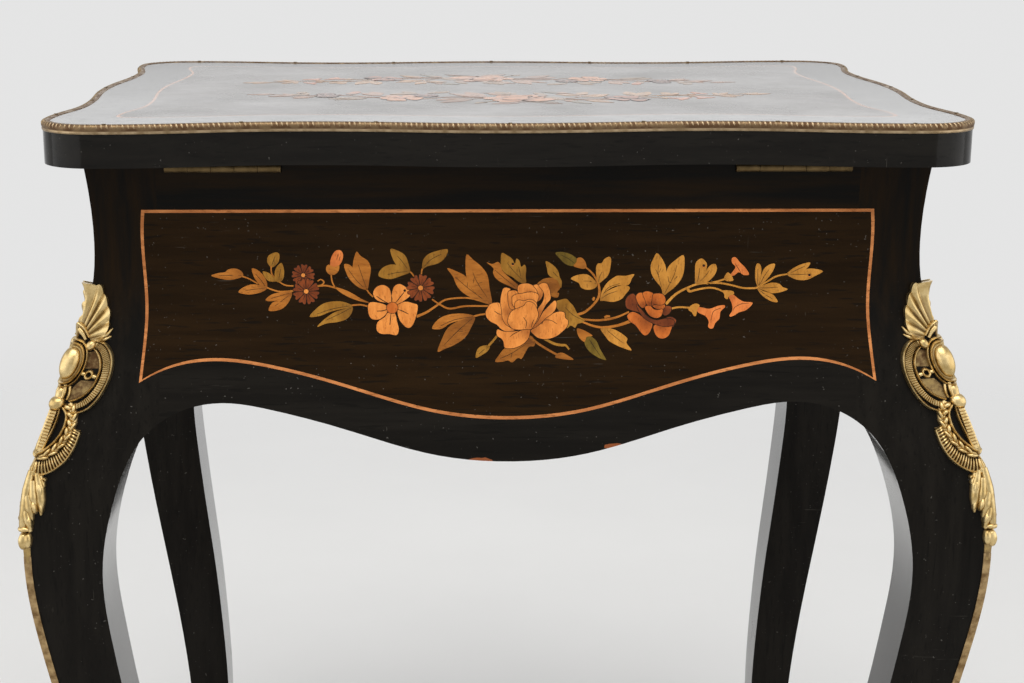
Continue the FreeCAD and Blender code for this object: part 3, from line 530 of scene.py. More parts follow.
def leftSheet():
    stalk("left", [(205, 176), (240, 188), (285, 214)], 1.4)
    stalk("left", [(325, 232), (380, 252), (430, 253), (470, 248)], 1.5)
    stalk("left", [(352, 125), (355, 165), (385, 200), (420, 222), (460, 226)], 1.3)
    stalk("left", [(578, 202), (594, 194), (609, 206), (600, 220), (575, 226)], 1.3)
    stalk("left", [(575, 228), (620, 225), (668, 237)], 1.6)
    stalk("left", [(645, 165), (648, 200), (662, 234)], 1.4)
    stalk("left", [(815, 240), (830, 262), (850, 282)], 1.5)
    stalk("left", [(735, 324), (790, 320), (832, 332)], 1.6)
    stalk("left", [(1025, 150), (1040, 165), (1052, 182)], 1.4)
    stalk("left", [(1094, 134), (1088, 150), (1086, 172)], 1.4)
    stalk("left", [(1062, 378), (1110, 358), (1160, 325), (1200, 298), (1260, 288), (1330, 290),
          (1420, 316)], [2.6, 2.0, 1.6, 1.8])
    stalk("left", [(1138, 294), (1180, 322), (1225, 340), (1300, 328), (1415, 328)], [1.4, 1.9, 1.6])
    stalk("left", [(1335, 380), (1370, 371), (1410, 366)], 1.8)
    veneer("left", "tan", [(58, 173), (95, 160), (125, 156), (142, 142), (175, 137), (205, 150),
           (215, 174), (188, 188), (140, 195), (90, 185)], [(215, 174, 90, 0.5)],
           [[(90, 174), (150, 172), (205, 174)]])
    veneer("left", "tan", [(258, 137), (285, 145), (315, 175), (332, 215), (326, 238), (300, 225),
           (275, 195), (262, 165)], [(330, 238, 70, 0.6)], [[(275, 165), (300, 195), (322, 228)]])
    veneer("left", "tan", [(190, 255), (215, 232), (255, 218), (300, 222), (330, 238), (300, 258),
           (250, 268), (215, 265)], [(330, 238, 80, 0.7)], [[(225, 248), (270, 242), (318, 238)]], 1)
    veneer("left", "gold", [(333, 92), (342, 70), (375, 55), (393, 65), (390, 100), (370, 125), (352, 132),
           (336, 112)], [(352, 132, 50, 0.5)], [[(372, 75), (356, 120)]])
    veneer("left", "gold", [(370, 195), (370, 150), (385, 122), (405, 110), (415, 150), (410, 190),
           (390, 208)], [(388, 208, 55, 0.5)], [[(398, 140), (388, 195)]], 1)
    veneer("left", "gold", [(310, 153), (335, 158), (355, 172), (380, 200), (345, 203), (322, 185)],
           [(380, 202, 50, 0.6)])
    veneer("left", "tan", [(322, 297), (350, 270), (400, 256), (455, 252), (430, 275), (395, 290),
           (360, 301)], [(455, 255, 80, 0.6)], [[(350, 288), (440, 262)]])
    veneer("left", "tan", [(338, 347), (355, 310), (400, 288), (452, 258), (440, 300), (410, 335),
           (375, 348)], [(452, 258, 90, 0.7)], [[(370, 325), (435, 275)]], 1)
    starFlower("left", 508, 172, 56, 0.1, 1)
    starFlower("left", 522, 253, 64, 0.35, 3)
    veneer("left", "orange", [(640, 125), (645, 85), (665, 50), (690, 45), (704, 65), (700, 95),
           (682, 125), (655, 132)], [(655, 132, 50, 0.5)], [[(680, 62), (672, 95)],
           [(690, 75), (684, 100)]])
    veneer("left", "tan", [(620, 135), (632, 118), (660, 130), (684, 121), (681, 150), (660, 170),
           (635, 168), (622, 152)], [(645, 172, 40, 0.5)], (), 1)
    veneer("left", "tan", [(662, 233), (700, 242), (745, 262), (790, 290), (832, 310), (800, 306),
           (750, 291), (700, 266)], [(830, 308, 70, 0.6)])
    veneer("left", "tan", [(770, 52), (790, 75), (825, 100), (839, 140), (832, 190), (821, 246),
           (790, 225), (760, 190), (749, 150), (755, 95)], [(820, 246, 110, 0.7)],
           [[(778, 120), (795, 175), (816, 235)]])
    veneer("left", "tan", [(708, 118), (735, 120), (752, 140), (762, 185), (795, 225), (816, 246),
           (780, 235), (745, 205), (722, 170)], [(816, 246, 90, 0.7)],
           [[(730, 145), (765, 195), (800, 232)]], 1)
    veneer("left", "gold", [(538, 378), (570, 340), (610, 312), (670, 302), (720, 310), (748, 328),
           (700, 340), (640, 354), (590, 374)], [(748, 328, 90, 0.6)],
           [[(575, 365), (650, 340), (735, 326)]])
    veneer("left", "gold", [(576, 428), (600, 400), (650, 362), (700, 343), (748, 330), (742, 365),
           (715, 392), (670, 405), (620, 411)], [(748, 332, 120, 0.8)],
           [[(620, 395), (690, 362), (740, 336)]], 1)
    for rim, vein in (([(922, 312), (870, 300), (848, 265), (865, 232), (900, 221), (930, 240), (941, 280),
                      (940, 310)], [(866, 278), (895, 298), (925, 314)]),
                      ([(942, 310), (940, 275), (950, 232), (975, 216), (1000, 225), (1030, 250),
                       (1036, 270), (1010, 295), (966, 320)], [(1003, 255), (980, 285), (958, 312)]),
                      ([(966, 322), (1005, 304), (1045, 312), (1069, 325), (1060, 380), (1040, 425),
                       (1015, 434), (985, 406), (972, 380), (966, 345)],
                       [(1022, 366), (995, 352), (966, 342)]),
                      ([(922, 358), (905, 380), (870, 405), (866, 445), (890, 463), (930, 464), (965, 469),
                       (976, 440), (967, 400), (957, 362)], [(932, 418), (934, 390), (937, 360)]),
                      ([(918, 325), (880, 310), (835, 307), (823, 330), (828, 370), (845, 391), (880, 392),
                       (910, 370), (922, 346)], [(868, 351), (895, 350), (918, 343)])):
        veneer("left", "petal", rim, [(943, 335, 60, 0.6)], [vein], 2, True, 0.9)
    roundel("left", 943, 335, 29, "rust", 3)
    veneer("left", "gold", [(935, 40), (965, 45), (1005, 70), (1022, 110), (1031, 156), (1000, 146),
           (965, 122), (945, 85)], [(1030, 155, 80, 0.6)], [[(968, 74), (990, 100), (1018, 140)]])
    veneer("left", "gold", [(875, 172), (895, 136), (940, 118), (985, 128), (1031, 156), (990, 175),
           (940, 192), (900, 188)], [(1030, 155, 80, 0.6)], [[(920, 170), (965, 160), (1018, 154)]], 1)
    veneer("left", "gold", [(1214, 41), (1205, 80), (1170, 112), (1115, 128), (1091, 142), (1095, 96),
           (1120, 66), (1160, 50)], [(1092, 140, 80, 0.6)], [[(1185, 66), (1135, 92), (1102, 128)]])
    starFlower("left", 1082, 237, 68, 0.2, 3)
    veneer("left", "tan", [(1308, 67), (1340, 95), (1380, 130), (1410, 175), (1420, 240), (1432, 320),
           (1395, 302), (1355, 268), (1322, 228), (1306, 180), (1302, 120)], [(1430, 318, 160, 0.75)],
           [[(1338, 160), (1362, 215), (1408, 285)], [(1362, 215), (1385, 210)],
            [(1345, 185), (1340, 215)]])
    veneer("left", "tan", [(1212, 137), (1260, 155), (1304, 181), (1321, 228), (1356, 271), (1400, 306),
           (1432, 322), (1370, 301), (1310, 276), (1265, 236), (1240, 180)], [(1430, 320, 150, 0.8)],
           [[(1252, 182), (1310, 235), (1385, 292)], [(1310, 235), (1312, 210)]], 1)
    veneer("left", "tan", [(1137, 434), (1165, 395), (1215, 370), (1290, 364), (1347, 378), (1290, 396),
           (1230, 410), (1190, 436), (1160, 441)], [(1345, 378, 120, 0.6)],
           [[(1180, 424), (1250, 394), (1335, 380)]])
    veneer("left", "brown", [(1164, 549), (1185, 490), (1215, 434), (1265, 402), (1347, 380), (1330, 430),
           (1300, 480), (1250, 515), (1200, 536)], [(1345, 380, 120, 0.6)],
           [[(1198, 516), (1262, 450), (1335, 388)], [(1262, 450), (1290, 450)]], 1)


def middleSheet():
    stalk("middle", [(765, 540), (820, 520), (880, 470), (920, 410), (922, 340), (900, 280), (862, 228),
          (822, 194)], [2.6, 2.2, 2.4, 2.0, 1.4])
    stalk("middle", [(880, 440), (884, 424), (886, 414)], [1.5, 2.6, 1.6])
    stalk("middle", [(790, 570), (900, 580), (1000, 570), (1070, 550), (1135, 520)], [1.8, 2.2, 1.6])
    stalk("middle", [(960, 560), (978, 552), (1000, 552)], [2.0, 2.6, 1.4])
    stalk("middle", [(800, 590), (880, 620), (960, 630), (1060, 615), (1150, 585)], [1.8, 2.2, 2.4, 3.2])
    stalk("middle", [(420, 690), (480, 740), (560, 790), (630, 828)], [2.4, 2.2, 2.0], "brown")
    stalk("middle", [(530, 710), (600, 745), (650, 755), (682, 757), (706, 786)], [2.4, 2.6, 1.6], "gold")
    stalk("middle", [(200, 680), (150, 740), (110, 780)], 2.2, "gold")
    veneer("middle", "gold", [(40, 840), (50, 790), (75, 764), (115, 755), (142, 765), (125, 796),
           (90, 820), (60, 838)], [(140, 765, 60, 0.5)], [[(65, 815), (105, 780)]])
    veneer("middle", "tan", [(118, 157), (160, 170), (200, 155), (222, 180), (230, 215), (260, 250),
           (310, 295), (350, 332), (336, 358), (280, 332), (225, 306), (185, 275), (165, 235), (168, 200)],
           [(345, 345, 150, 0.8)], [[(180, 215), (240, 270), (325, 340)]])
    veneer("middle", "gold", [(227, 88), (265, 105), (300, 130), (322, 168), (331, 130), (355, 150),
           (366, 192), (390, 175), (402, 205), (398, 260), (402, 308), (370, 312), (335, 292), (300, 265),
           (255, 240), (224, 200), (220, 150)], [(390, 310, 140, 0.8)],
           [[(265, 160), (310, 220), (372, 285)], [(348, 190), (362, 260)]], 1)
    veneer("middle", "gold", [(540, 150), (575, 165), (610, 195), (632, 230), (642, 270), (656, 300),
           (652, 346), (640, 330), (624, 292), (590, 272), (560, 250), (549, 200)], [(645, 335, 90, 0.6)],
           [[(592, 230), (628, 268)]], 1)
    veneer("middle", "brown", [(470, 335), (510, 290), (550, 275), (600, 275), (642, 300), (647, 345),
           (622, 378), (637, 386), (626, 416), (590, 412), (560, 390), (520, 360)],
           [(560, 340, 70, 0.5)], (), 0)
    veneer("middle", "gold", [(600, 455), (650, 432), (690, 427), (712, 450), (740, 480), (765, 530),
           (792, 560), (822, 575), (800, 596), (766, 606), (750, 632), (720, 616), (690, 637), (670, 610),
           (660, 560), (635, 510)], [(640, 520, 110, 0.6)], [[(680, 488), (735, 542), (805, 576)]])
    veneer("middle", "tan", [(738, 186), (760, 156), (764, 128), (795, 124), (820, 150), (832, 192),
           (815, 207), (780, 202)], [(820, 198, 60, 0.5)], (), 1)
    veneer("middle", "olive", [(608, 88), (660, 82), (720, 100), (768, 140), (756, 176), (730, 187),
           (680, 171), (640, 130)], [(768, 160, 70, 0.4)], [[(650, 105), (700, 130), (745, 165)]])
    veneer("middle", "honey", [(988, 118), (1006, 135), (1001, 200), (986, 256), (940, 301), (914, 318),
           (904, 270), (899, 210), (910, 170), (940, 165), (956, 138)], [(916, 315, 110, 0.5)],
           [[(942, 232), (926, 265), (918, 305)]], 1)
    veneer("middle", "honey", [(720, 281), (760, 255), (830, 247), (880, 280), (908, 322), (890, 351),
           (840, 361), (795, 346), (775, 310)], [(905, 325, 100, 0.5)],
           [[(812, 297), (860, 300), (902, 318)]], 1)
    veneer("middle", "honey", [(1172, 247), (1155, 280), (1130, 327), (1040, 332), (960, 382), (930, 432),
           (943, 370), (980, 310), (1030, 270), (1060, 258), (1110, 260)], [(935, 425, 120, 0.5)],
           [[(1070, 316), (990, 345), (946, 402)]])
    veneer("middle", "honey", [(1142, 350), (1110, 395), (1080, 430), (1020, 449), (960, 441), (928, 437),
           (960, 385), (1040, 342), (1108, 328)], [(930, 436, 130, 0.7)],
           [[(1055, 370), (985, 394), (940, 424)]], 1)
    veneer("middle", "honey", [(1152, 792), (1100, 780), (1040, 755), (990, 725), (970, 700), (940, 660),
           (934, 638), (985, 634), (1040, 650), (1090, 680), (1122, 710), (1115, 742)],
           [(940, 640, 110, 0.6)], [[(980, 652), (1040, 702), (1092, 742)]], 1)
    veneer("middle", "tan", [(763, 638), (800, 645), (840, 665), (874, 690), (832, 697), (816, 732),
           (785, 710), (768, 680)], [(768, 642, 60, 0.5)], (), 1)
    veneer("middle", "olive", [(818, 700), (850, 688), (900, 725), (925, 780), (960, 840), (968, 862),
           (930, 851), (900, 836), (850, 800), (818, 750)], [(825, 705, 60, 0.5)],
           [[(850, 715), (885, 770), (930, 835)]])
    veneer("middle", "brown", [(178, 870), (210, 820), (245, 778), (300, 760), (370, 735), (415, 705),
           (440, 690), (462, 725), (457, 762), (420, 766), (392, 810), (366, 852), (340, 845), (300, 876),
           (270, 862), (230, 871)], [(420, 715, 130, 0.7)], [[(215, 848), (300, 810), (400, 745)],
           [(300, 810), (290, 845)]])
    veneer("middle", "brown", [(608, 842), (620, 815), (660, 809), (700, 830), (738, 857), (690, 857),
           (650, 852)], [(612, 828, 50, 0.4)], (), 1)
    rosePetals()


def rosePetals():  # open rose, from the guard petals in to the heart
    for rim, burns, veins, layer in (
            ([(245, 343), (225, 385), (217, 440), (219, 500), (230, 560), (250, 602), (292, 634),
             (330, 600), (320, 520), (300, 480), (280, 430), (280, 375), (292, 353)],
             [(282, 520, 90, 0.85), (270, 600, 60, 0.5)], (), 1),
            ([(125, 490), (140, 465), (175, 452), (212, 455), (224, 500), (230, 560), (255, 608),
             (305, 636), (332, 642), (300, 656), (250, 656), (215, 636), (190, 610), (150, 590),
             (119, 560), (111, 520)], [(235, 560, 70, 0.7), (300, 645, 50, 0.5)],
             [[(175, 512), (200, 530), (222, 538)]], 2),
            ([(188, 660), (200, 641), (240, 656), (300, 656), (360, 650), (428, 636), (427, 670),
             (415, 710), (380, 746), (330, 771), (280, 779), (245, 771), (238, 735), (225, 710),
             (194, 690)], [(400, 650, 110, 0.75), (300, 655, 60, 0.4)],
             [[(358, 652), (312, 674), (284, 697)]], 3),
            ([(433, 650), (480, 620), (520, 590), (545, 556), (590, 530), (640, 515), (676, 525),
             (680, 560), (701, 580), (696, 620), (660, 660), (610, 696), (545, 713), (490, 706),
             (455, 682)], [(450, 640, 110, 0.75), (530, 575, 60, 0.5)],
             [[(512, 608), (530, 578), (580, 580), (622, 606)]], 2),
            ([(433, 642), (460, 608), (500, 556), (522, 518), (560, 478), (602, 438), (619, 450),
             (616, 490), (590, 530), (545, 562), (510, 596), (470, 627)],
             [(470, 600, 130, 0.95), (560, 500, 60, 0.5)], (), 3),
            ([(490, 328), (520, 309), (550, 315), (566, 345), (576, 390), (576, 430), (545, 466),
             (520, 512), (490, 572), (460, 606), (455, 560), (480, 500), (515, 452), (528, 410),
             (520, 370)], [(490, 540, 130, 0.9), (515, 400, 50, 0.5)], (), 4),
            ([(340, 360), (344, 330), (375, 314), (420, 314), (452, 330), (472, 350), (490, 380),
             (470, 420), (400, 420), (350, 400)], [(420, 395, 70, 0.8)], (), 1),
            ([(452, 330), (480, 320), (512, 345), (522, 375), (517, 412), (496, 440), (478, 440),
             (488, 400), (474, 358)], [(490, 420, 80, 0.9)], (), 3),
            ([(272, 376), (300, 364), (332, 366), (346, 390), (330, 420), (320, 460), (318, 500),
             (286, 494), (271, 440)], [(318, 460, 80, 0.9)], (), 2),
            ([(303, 408), (330, 391), (370, 386), (406, 378), (446, 375), (482, 387), (493, 412),
             (480, 450), (470, 490), (400, 510), (340, 500), (306, 470), (301, 436)],
             [(400, 475, 90, 0.9)], (), 5),
            ([(322, 452), (350, 432), (385, 440), (420, 428), (455, 436), (478, 462), (470, 500),
             (380, 520), (325, 500)], [(400, 490, 70, 0.8)], (), 6),
            ([(268, 592), (278, 545), (300, 510), (345, 490), (384, 474), (400, 450), (425, 444),
             (460, 460), (480, 500), (489, 540), (470, 590), (438, 641), (400, 642), (350, 646),
             (300, 636)], [(440, 640, 110, 0.6), (280, 620, 60, 0.6)],
             [[(382, 558), (404, 592), (396, 634)], [(457, 572), (444, 600), (438, 630)]], 7)):
        veneer("middle", "petal", rim, burns, veins, layer, True, 0.7)


def rightSheet():
    stalk("right", [(330, 465), (400, 395), (480, 350), (560, 320), (640, 314), (720, 315), (800, 330),
          (880, 350), (960, 352), (990, 345)], [2.8, 2.2, 2.0, 1.8, 1.8, 1.8, 2.2], "honey")
    stalk("right", [(620, 318), (690, 304), (755, 284)], 1.8, "honey")
    stalk("right", [(488, 356), (500, 374), (560, 360), (640, 348), (700, 358), (752, 384)],
          [3.0, 2.0, 1.8, 1.7], "honey")
    stalk("right", [(360, 500), (420, 488), (500, 492)], 1.8, "honey")
    stalk("right", [(985, 345), (1060, 300), (1120, 265), (1205, 248)], [1.4, 1.8, 1.5], "honey")
    veneer("right", "honey", [(262, 91), (295, 125), (325, 185), (331, 250), (318, 330), (310, 402),
           (295, 345), (255, 295), (225, 240), (221, 180), (240, 130)], [(308, 395, 150, 0.6)],
           [[(278, 178), (273, 240), (300, 345)], [(256, 212), (282, 268)], [(293, 205), (281, 235)]])
    veneer("right", "honey", [(453, 107), (461, 190), (446, 270), (400, 336), (345, 382), (309, 406),
           (313, 340), (327, 250), (350, 188), (400, 140)], [(312, 400, 150, 0.7)],
           [[(406, 183), (386, 260), (322, 388)], [(344, 264), (352, 305), (374, 312)],
            [(412, 262), (388, 288)]], 1)
    veneer("right", "honey", [(541, 315), (537, 240), (540, 170), (565, 138), (590, 135), (618, 165),
           (621, 200), (602, 250), (570, 300)], [(545, 312, 90, 0.6)],
           [[(570, 205), (564, 260), (553, 305)]])
    veneer("right", "honey", [(544, 320), (590, 270), (620, 215), (650, 180), (680, 174), (693, 205),
           (680, 250), (640, 296), (590, 319)], [(550, 318, 100, 0.7)],
           [[(640, 220), (612, 262), (570, 305)]], 1)
    for calyx, bell, creases in (
            ([(746, 272), (765, 239), (780, 239), (802, 265), (811, 296), (770, 301), (754, 292)],
             [(783, 264), (810, 225), (825, 195), (800, 165), (799, 130), (825, 124), (855, 160),
              (890, 195), (921, 240), (915, 256), (880, 253), (850, 234), (818, 258)],
              [[(824, 172), (848, 212), (868, 243)]]),
            ([(733, 370), (775, 367), (811, 375), (816, 395), (782, 406), (771, 431), (750, 421),
             (747, 395)], [(779, 412), (810, 398), (850, 430), (890, 450), (946, 455), (940, 476),
                           (900, 511), (850, 526), (820, 546), (790, 556), (784, 545), (805, 510),
                           (800, 460)], [[(922, 460), (868, 465), (822, 490), (808, 518)]]),
            ([(489, 505), (510, 475), (545, 462), (571, 475), (556, 500), (546, 546), (530, 551),
             (514, 525)], [(544, 488), (580, 489), (640, 500), (700, 480), (746, 474), (751, 490),
                           (720, 520), (711, 570), (682, 600), (666, 636), (645, 640), (629, 625),
                           (635, 590), (610, 550), (560, 526)],
                           [[(722, 496), (672, 516), (655, 560), (650, 600)]])):
        veneer("right", "orange", bell, [(*bell[0], 70, 0.7)], creases, 1)
        veneer("right", "honey", calyx, [(*calyx[0], 40, 0.4)], (), 2)
    veneer("right", "honey", [(966, 255), (970, 190), (985, 169), (1005, 185), (1011, 230), (1001, 300),
           (985, 338), (971, 300)], [(985, 330, 80, 0.6)], [[(986, 210), (985, 325)]])
    veneer("right", "honey", [(997, 335), (1010, 260), (1030, 210), (1065, 180), (1107, 173), (1096, 220),
           (1065, 270), (1030, 310), (1000, 340)], [(998, 336, 100, 0.6)],
           [[(1064, 216), (1030, 268), (1002, 325)]], 1)
    veneer("right", "honey", [(986, 347), (1040, 325), (1090, 312), (1140, 320), (1165, 345), (1202, 360),
           (1150, 381), (1090, 389), (1040, 371)], [(988, 348, 110, 0.6)],
           [[(1130, 345), (1060, 350), (1000, 350)]], 1)
    veneer("right", "honey", [(984, 352), (1030, 374), (1085, 392), (1110, 415), (1130, 452), (1090, 449),
           (1045, 426), (1005, 391)], [(986, 354, 90, 0.6)], [[(1092, 430), (1045, 402), (1000, 368)]])
    veneer("right", "honey", [(1193, 248), (1240, 205), (1300, 175), (1357, 164), (1345, 196), (1310, 226),
           (1260, 246)], [(1196, 247, 90, 0.5)], [[(1320, 192), (1270, 215), (1215, 243)]])
    veneer("right", "honey", [(1196, 252), (1260, 242), (1320, 215), (1380, 209), (1452, 228), (1400, 261),
           (1340, 291), (1280, 293), (1230, 277)], [(1198, 252, 110, 0.6)],
           [[(1345, 250), (1280, 252), (1215, 250)]], 1)
    for rim, tone, burns, layer in (
            ([(40, 445), (55, 410), (95, 388), (122, 420), (132, 470), (165, 535), (130, 522), (90, 512),
             (48, 492)], "russet", [(120, 480, 80, 0.6)], 2),
            ([(318, 480), (350, 478), (372, 490), (358, 530), (322, 548), (300, 520)], "russet",
             [(320, 520, 60, 0.7)], 2),
            ([(330, 562), (370, 556), (402, 578), (396, 602), (374, 632), (340, 626), (318, 596)],
             "russet", [(340, 600, 60, 0.6)], 2),
            ([(115, 418), (130, 387), (162, 384), (180, 420), (186, 475), (162, 494), (135, 468)], "rust",
             [(165, 480, 60, 0.8)], 3),
            ([(163, 386), (195, 371), (240, 388), (237, 430), (226, 484), (195, 474), (178, 430)], "rust",
             [(215, 480, 70, 0.9)], 4),
            ([(238, 394), (270, 387), (310, 394), (329, 430), (319, 464), (285, 473), (250, 468),
             (226, 480), (231, 430)], "rust", [(240, 470, 80, 0.9)], 5),
            ([(228, 475), (260, 470), (318, 465), (322, 490), (300, 505), (262, 500)], "rust",
             [(270, 490, 60, 0.8)], 4),
            ([(52, 545), (90, 519), (140, 538), (190, 578), (233, 602), (226, 640), (205, 676), (175, 689),
             (145, 662), (110, 616), (68, 586)], "rust", [(190, 580, 110, 0.75)], 3),
            ([(240, 622), (270, 606), (330, 618), (372, 614), (366, 650), (346, 691), (310, 711),
             (270, 702), (245, 666)], "rust", [(300, 610, 80, 0.8)], 4),
            ([(118, 465), (160, 508), (200, 553), (260, 578), (330, 566), (384, 578), (386, 612),
             (330, 627), (260, 612), (190, 578), (145, 532)], "russet",
             [(200, 560, 120, 0.9), (330, 600, 80, 0.5)], 5),
            ([(178, 490), (200, 474), (222, 478), (242, 500), (278, 505), (307, 500), (302, 541),
             (275, 564), (240, 562), (205, 540)], "rust", [(220, 555, 70, 0.6)], 6)):
        veneer("right", tone, rim, burns, (), layer, True)


def layCut(work, shadeLayer, cut, place):  # one closed sliver of veneer
    flat = bmesh.new()
    if "pairs" in cut:
        rows = [[flat.verts.new((spot.x, spot.y, 0)) for spot in pair] for pair in cut["pairs"]]
        for (a, b), (c, d) in zip(rows, rows[1:]):
            flat.faces.new((a, b, d, c))
    else:
        flat.faces.new([flat.verts.new((spot.x, spot.y, 0)) for spot in cut["edge"]])
    bmesh.ops.remove_doubles(flat, verts=flat.verts, dist=0.02)
    bmesh.ops.triangulate(flat, faces=flat.faces)
    for halving in range(3):
        longEdges = [line for line in flat.edges if line.calc_length() > drawing["fine"]]
        if longEdges:
            bmesh.ops.subdivide_edges(flat, edges=longEdges, cuts=1)
            bmesh.ops.triangulate(flat, faces=flat.faces)
    lift = drawing["lift"] + cut["layer"] * drawing["layer"]
    top, low = {}, {}
    for vert in flat.verts:
        spot, out = place(vert.co.x, vert.co.y)
        burn = 0.0
        for middle, far, deep in cut["marks"]:
            near = max(0.0, 1 - (vert.co.xy - middle).length / far)
            burn = max(burn, deep * near * near * (3 - 2 * near))
        for side, high in ((top, lift), (low, -drawing["foot"])):
            side[vert] = work.verts.new(spot + out * high)
            side[vert][shadeLayer] = burn
    faces = []
    for face in flat.faces:
        faces.append(work.faces.new([top[vert] for vert in face.verts]))
        faces.append(work.faces.new([low[vert] for vert in reversed(face.verts)]))
    for line in flat.edges:
        if len(line.link_faces) == 1:
            a, b = line.verts
            faces.append(work.faces.new((top[a], top[b], low[b], low[a])))
    flat.free()
    bmesh.ops.recalc_face_normals(work, faces=faces)
    for face in faces:
        face.material_index = inlayOrder.index(cut["tone"])


def pinHole(u, v):  # a nail hole with its pale torn rim
    for down, reach, tone, layer in ((0.5, 1.6, "petal", 8), (0, 1.35, "line", 9)):
        edge = [Vector(spot) for spot in ringOf(u, v + down, reach, 8)]
        yield {"edge": edge, "tone": tone, "marks": (), "layer": layer}


def inlayPiece(name, places, body, tones, extra=()):
    work = bmesh.new()
    shadeLayer = work.verts.layers.float.new("shade")
    for place in places:
        for cut in [*cuts, *extra]:
            layCut(work, shadeLayer, cut, place)
    piece = newPiece(name, work, *tones)
    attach(piece, body)
    print(name, "laid:", len(piece.data.polygons), "faces")


def panelXZ(u, v):
    x = drawing["middleX"] + drawing["stepX"] * (u - drawing["middleU"])
    return x * mm, (drawing["levelZ"] - drawing["stepZ"] * (v - drawing["levelV"])) * mm


def onBack(u, v):
    x, z = panelXZ(u, v)
    return Vector((x, backFace(x, z), z)), Vector((0, -1, 0))


def onFront(u, v):
    x, z = panelXZ(u, v)
    return Vector((-x, -backFace(x, z), z)), Vector((0, 1, 0))


def onSide(sign):
    def place(u, v):
        x, z = panelXZ(u, v)
        high = sideSpray["middle"] + (z - sideSpray["level"]) * sideSpray["scale"]
        out = sideGap - backFace(0.0, high)
        return Vector((sign * out, sign * x * sideSpray["scale"], high)), Vector((sign, 0, 0))
    return place


def onLid(sign):  # two sprays, head to tail
    def place(u, v):
        x, z = panelXZ(u, v)
        across = x * lidSpray["scale"]
        along = lidSpray["apart"] + (lidSpray["level"] - z) * lidSpray["deepen"]
        return Vector((sign * across, -sign * along, lidTop)), Vector((0, 0, 1))
    return place


sideSpray = {"middle": 0.622, "level": 0.61, "scale": 0.68}
lidSpray = {"scale": 0.95, "deepen": 1.15, "level": 0.61, "apart": 0.064}
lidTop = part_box("lid_field")[1].z
leftSheet()
middleSheet()
rightSheet()
pinSpots = ((405, 291), (513, 264), (704, 266), (810, 276))  # nail holes in the back only
pinHoles = [cut for spot in pinSpots for cut in pinHole(*spot)]
inlayPiece("back_marquetry", [onBack], "case", inlayFinishes, pinHoles)
inlayPiece("front_marquetry", [onFront], "case", inlayFinishes)
inlayPiece("left_marquetry", [onSide(-1)], "case", inlayFinishes)
inlayPiece("right_marquetry", [onSide(1)], "case", inlayFinishes)
inlayPiece("lid_marquetry", [onLid(1), onLid(-1)], "lid", fadedFinishes)
print("marquetry drawn:", len(cuts), "cuts")


# Gilt corner mounts, modelled over the leg's ridge, in millimetres
seat, fullRelief = 0.25, 4.4  # how far edges go into the wood, and the height that is rubbed bright


class Casting:
    def __init__(self, line):
        self.line = line
        self.side = 1  # -1 mirrors what follows over the ridge
        self.work = bmesh.new()
        self.layer = self.work.verts.layers.float.new("relief")

    def vert(self, t, z, h):
        made = self.work.verts.new(mountSpot(self.line, self.side * t * mm, z * mm, h * mm))
        made[self.layer] = min(1.0, max(0.0, h / fullRelief))
        return made

    def close(self, rows):  # quads between neighbouring rows, capped at both ends
        for a, b in zip(rows, rows[1:]):
            for k in range(len(a) - 1):
                self.work.faces.new((a[k], a[k + 1], b[k + 1], b[k]))
        self.work.faces.new(rows[0][::-1])
        self.work.faces.new(rows[-1])


def mountSpot(line, t, z, h):  # t across the faces from the ridge, h out of the wood
    y = ridgeY(line, z)
    x = y + sideGap
    slope = ridgeSlope(line, z)
    soft, lean = 0.0035, 0.7  # half the rounding over the ridge, and the tilt with the leg's slope
    w = min(max((soft - t) / (2 * soft), 0.0), 1.0)
    w = w * w * (3 - 2 * w)
    out = Vector((w, 1 - w, 0)).normalized()
    out = Vector((out.x, out.y, -slope * (abs(out.x) + abs(out.y)) * lean)).normalized()
    base = Vector((x - max(t, 0.0), y - max(-t, 0.0), z))
    return base + out * h


def ridgeStroke(casting, path, widths, heights, steps, sides=6, flat=1.0):
    spots = curvePoints(path, steps)
    count = len(spots)
    rows = []
    for index, spot in enumerate(spots):
        share = index / (count - 1)
        ahead = (spots[min(index + 1, count - 1)] - spots[max(index - 1, 0)])
        ahead = ahead.normalized() if ahead.length else Vector((1, 0))
        across = Vector((-ahead.y, ahead.x))
        width = tableValue(widths, share)
        high = tableValue(heights, share)
        row = []
        for side in range(sides + 1):
            turn = math.pi * side / sides
            reach = math.cos(turn) * width / 2
            lift = math.sin(turn) ** flat * high
            edge = spot + across * reach
            row.append(casting.vert(edge.x, edge.y, lift - (seat if side in (0, sides) else 0)))
        rows.append(row)
    casting.close(rows)


def dome(casting, t, z, rt, rz, high, turn, rings, around, power=0.5):
    top = casting.vert(t, z, high)
    last = None
    for ring in range(1, rings + 1):
        reach = ring / rings
        row = []
        for k in range(around):
            angle = 2 * math.pi * k / around
            dx, dz = math.cos(angle) * rt * reach, math.sin(angle) * rz * reach
            x = dx * math.cos(turn) - dz * math.sin(turn)
            y = dx * math.sin(turn) + dz * math.cos(turn)
            lift = high * max(0.0, 1 - reach * reach) ** power if ring < rings else -seat
            row.append(casting.vert(t + x, z + y, lift))
        for k in range(around):
            if last is None:
                casting.work.faces.new((top, row[k], row[(k + 1) % around]))
            else:
                casting.work.faces.new((last[k], row[k], row[(k + 1) % around], last[(k + 1) % around]))
        last = row
    casting.work.faces.new(last[::-1])


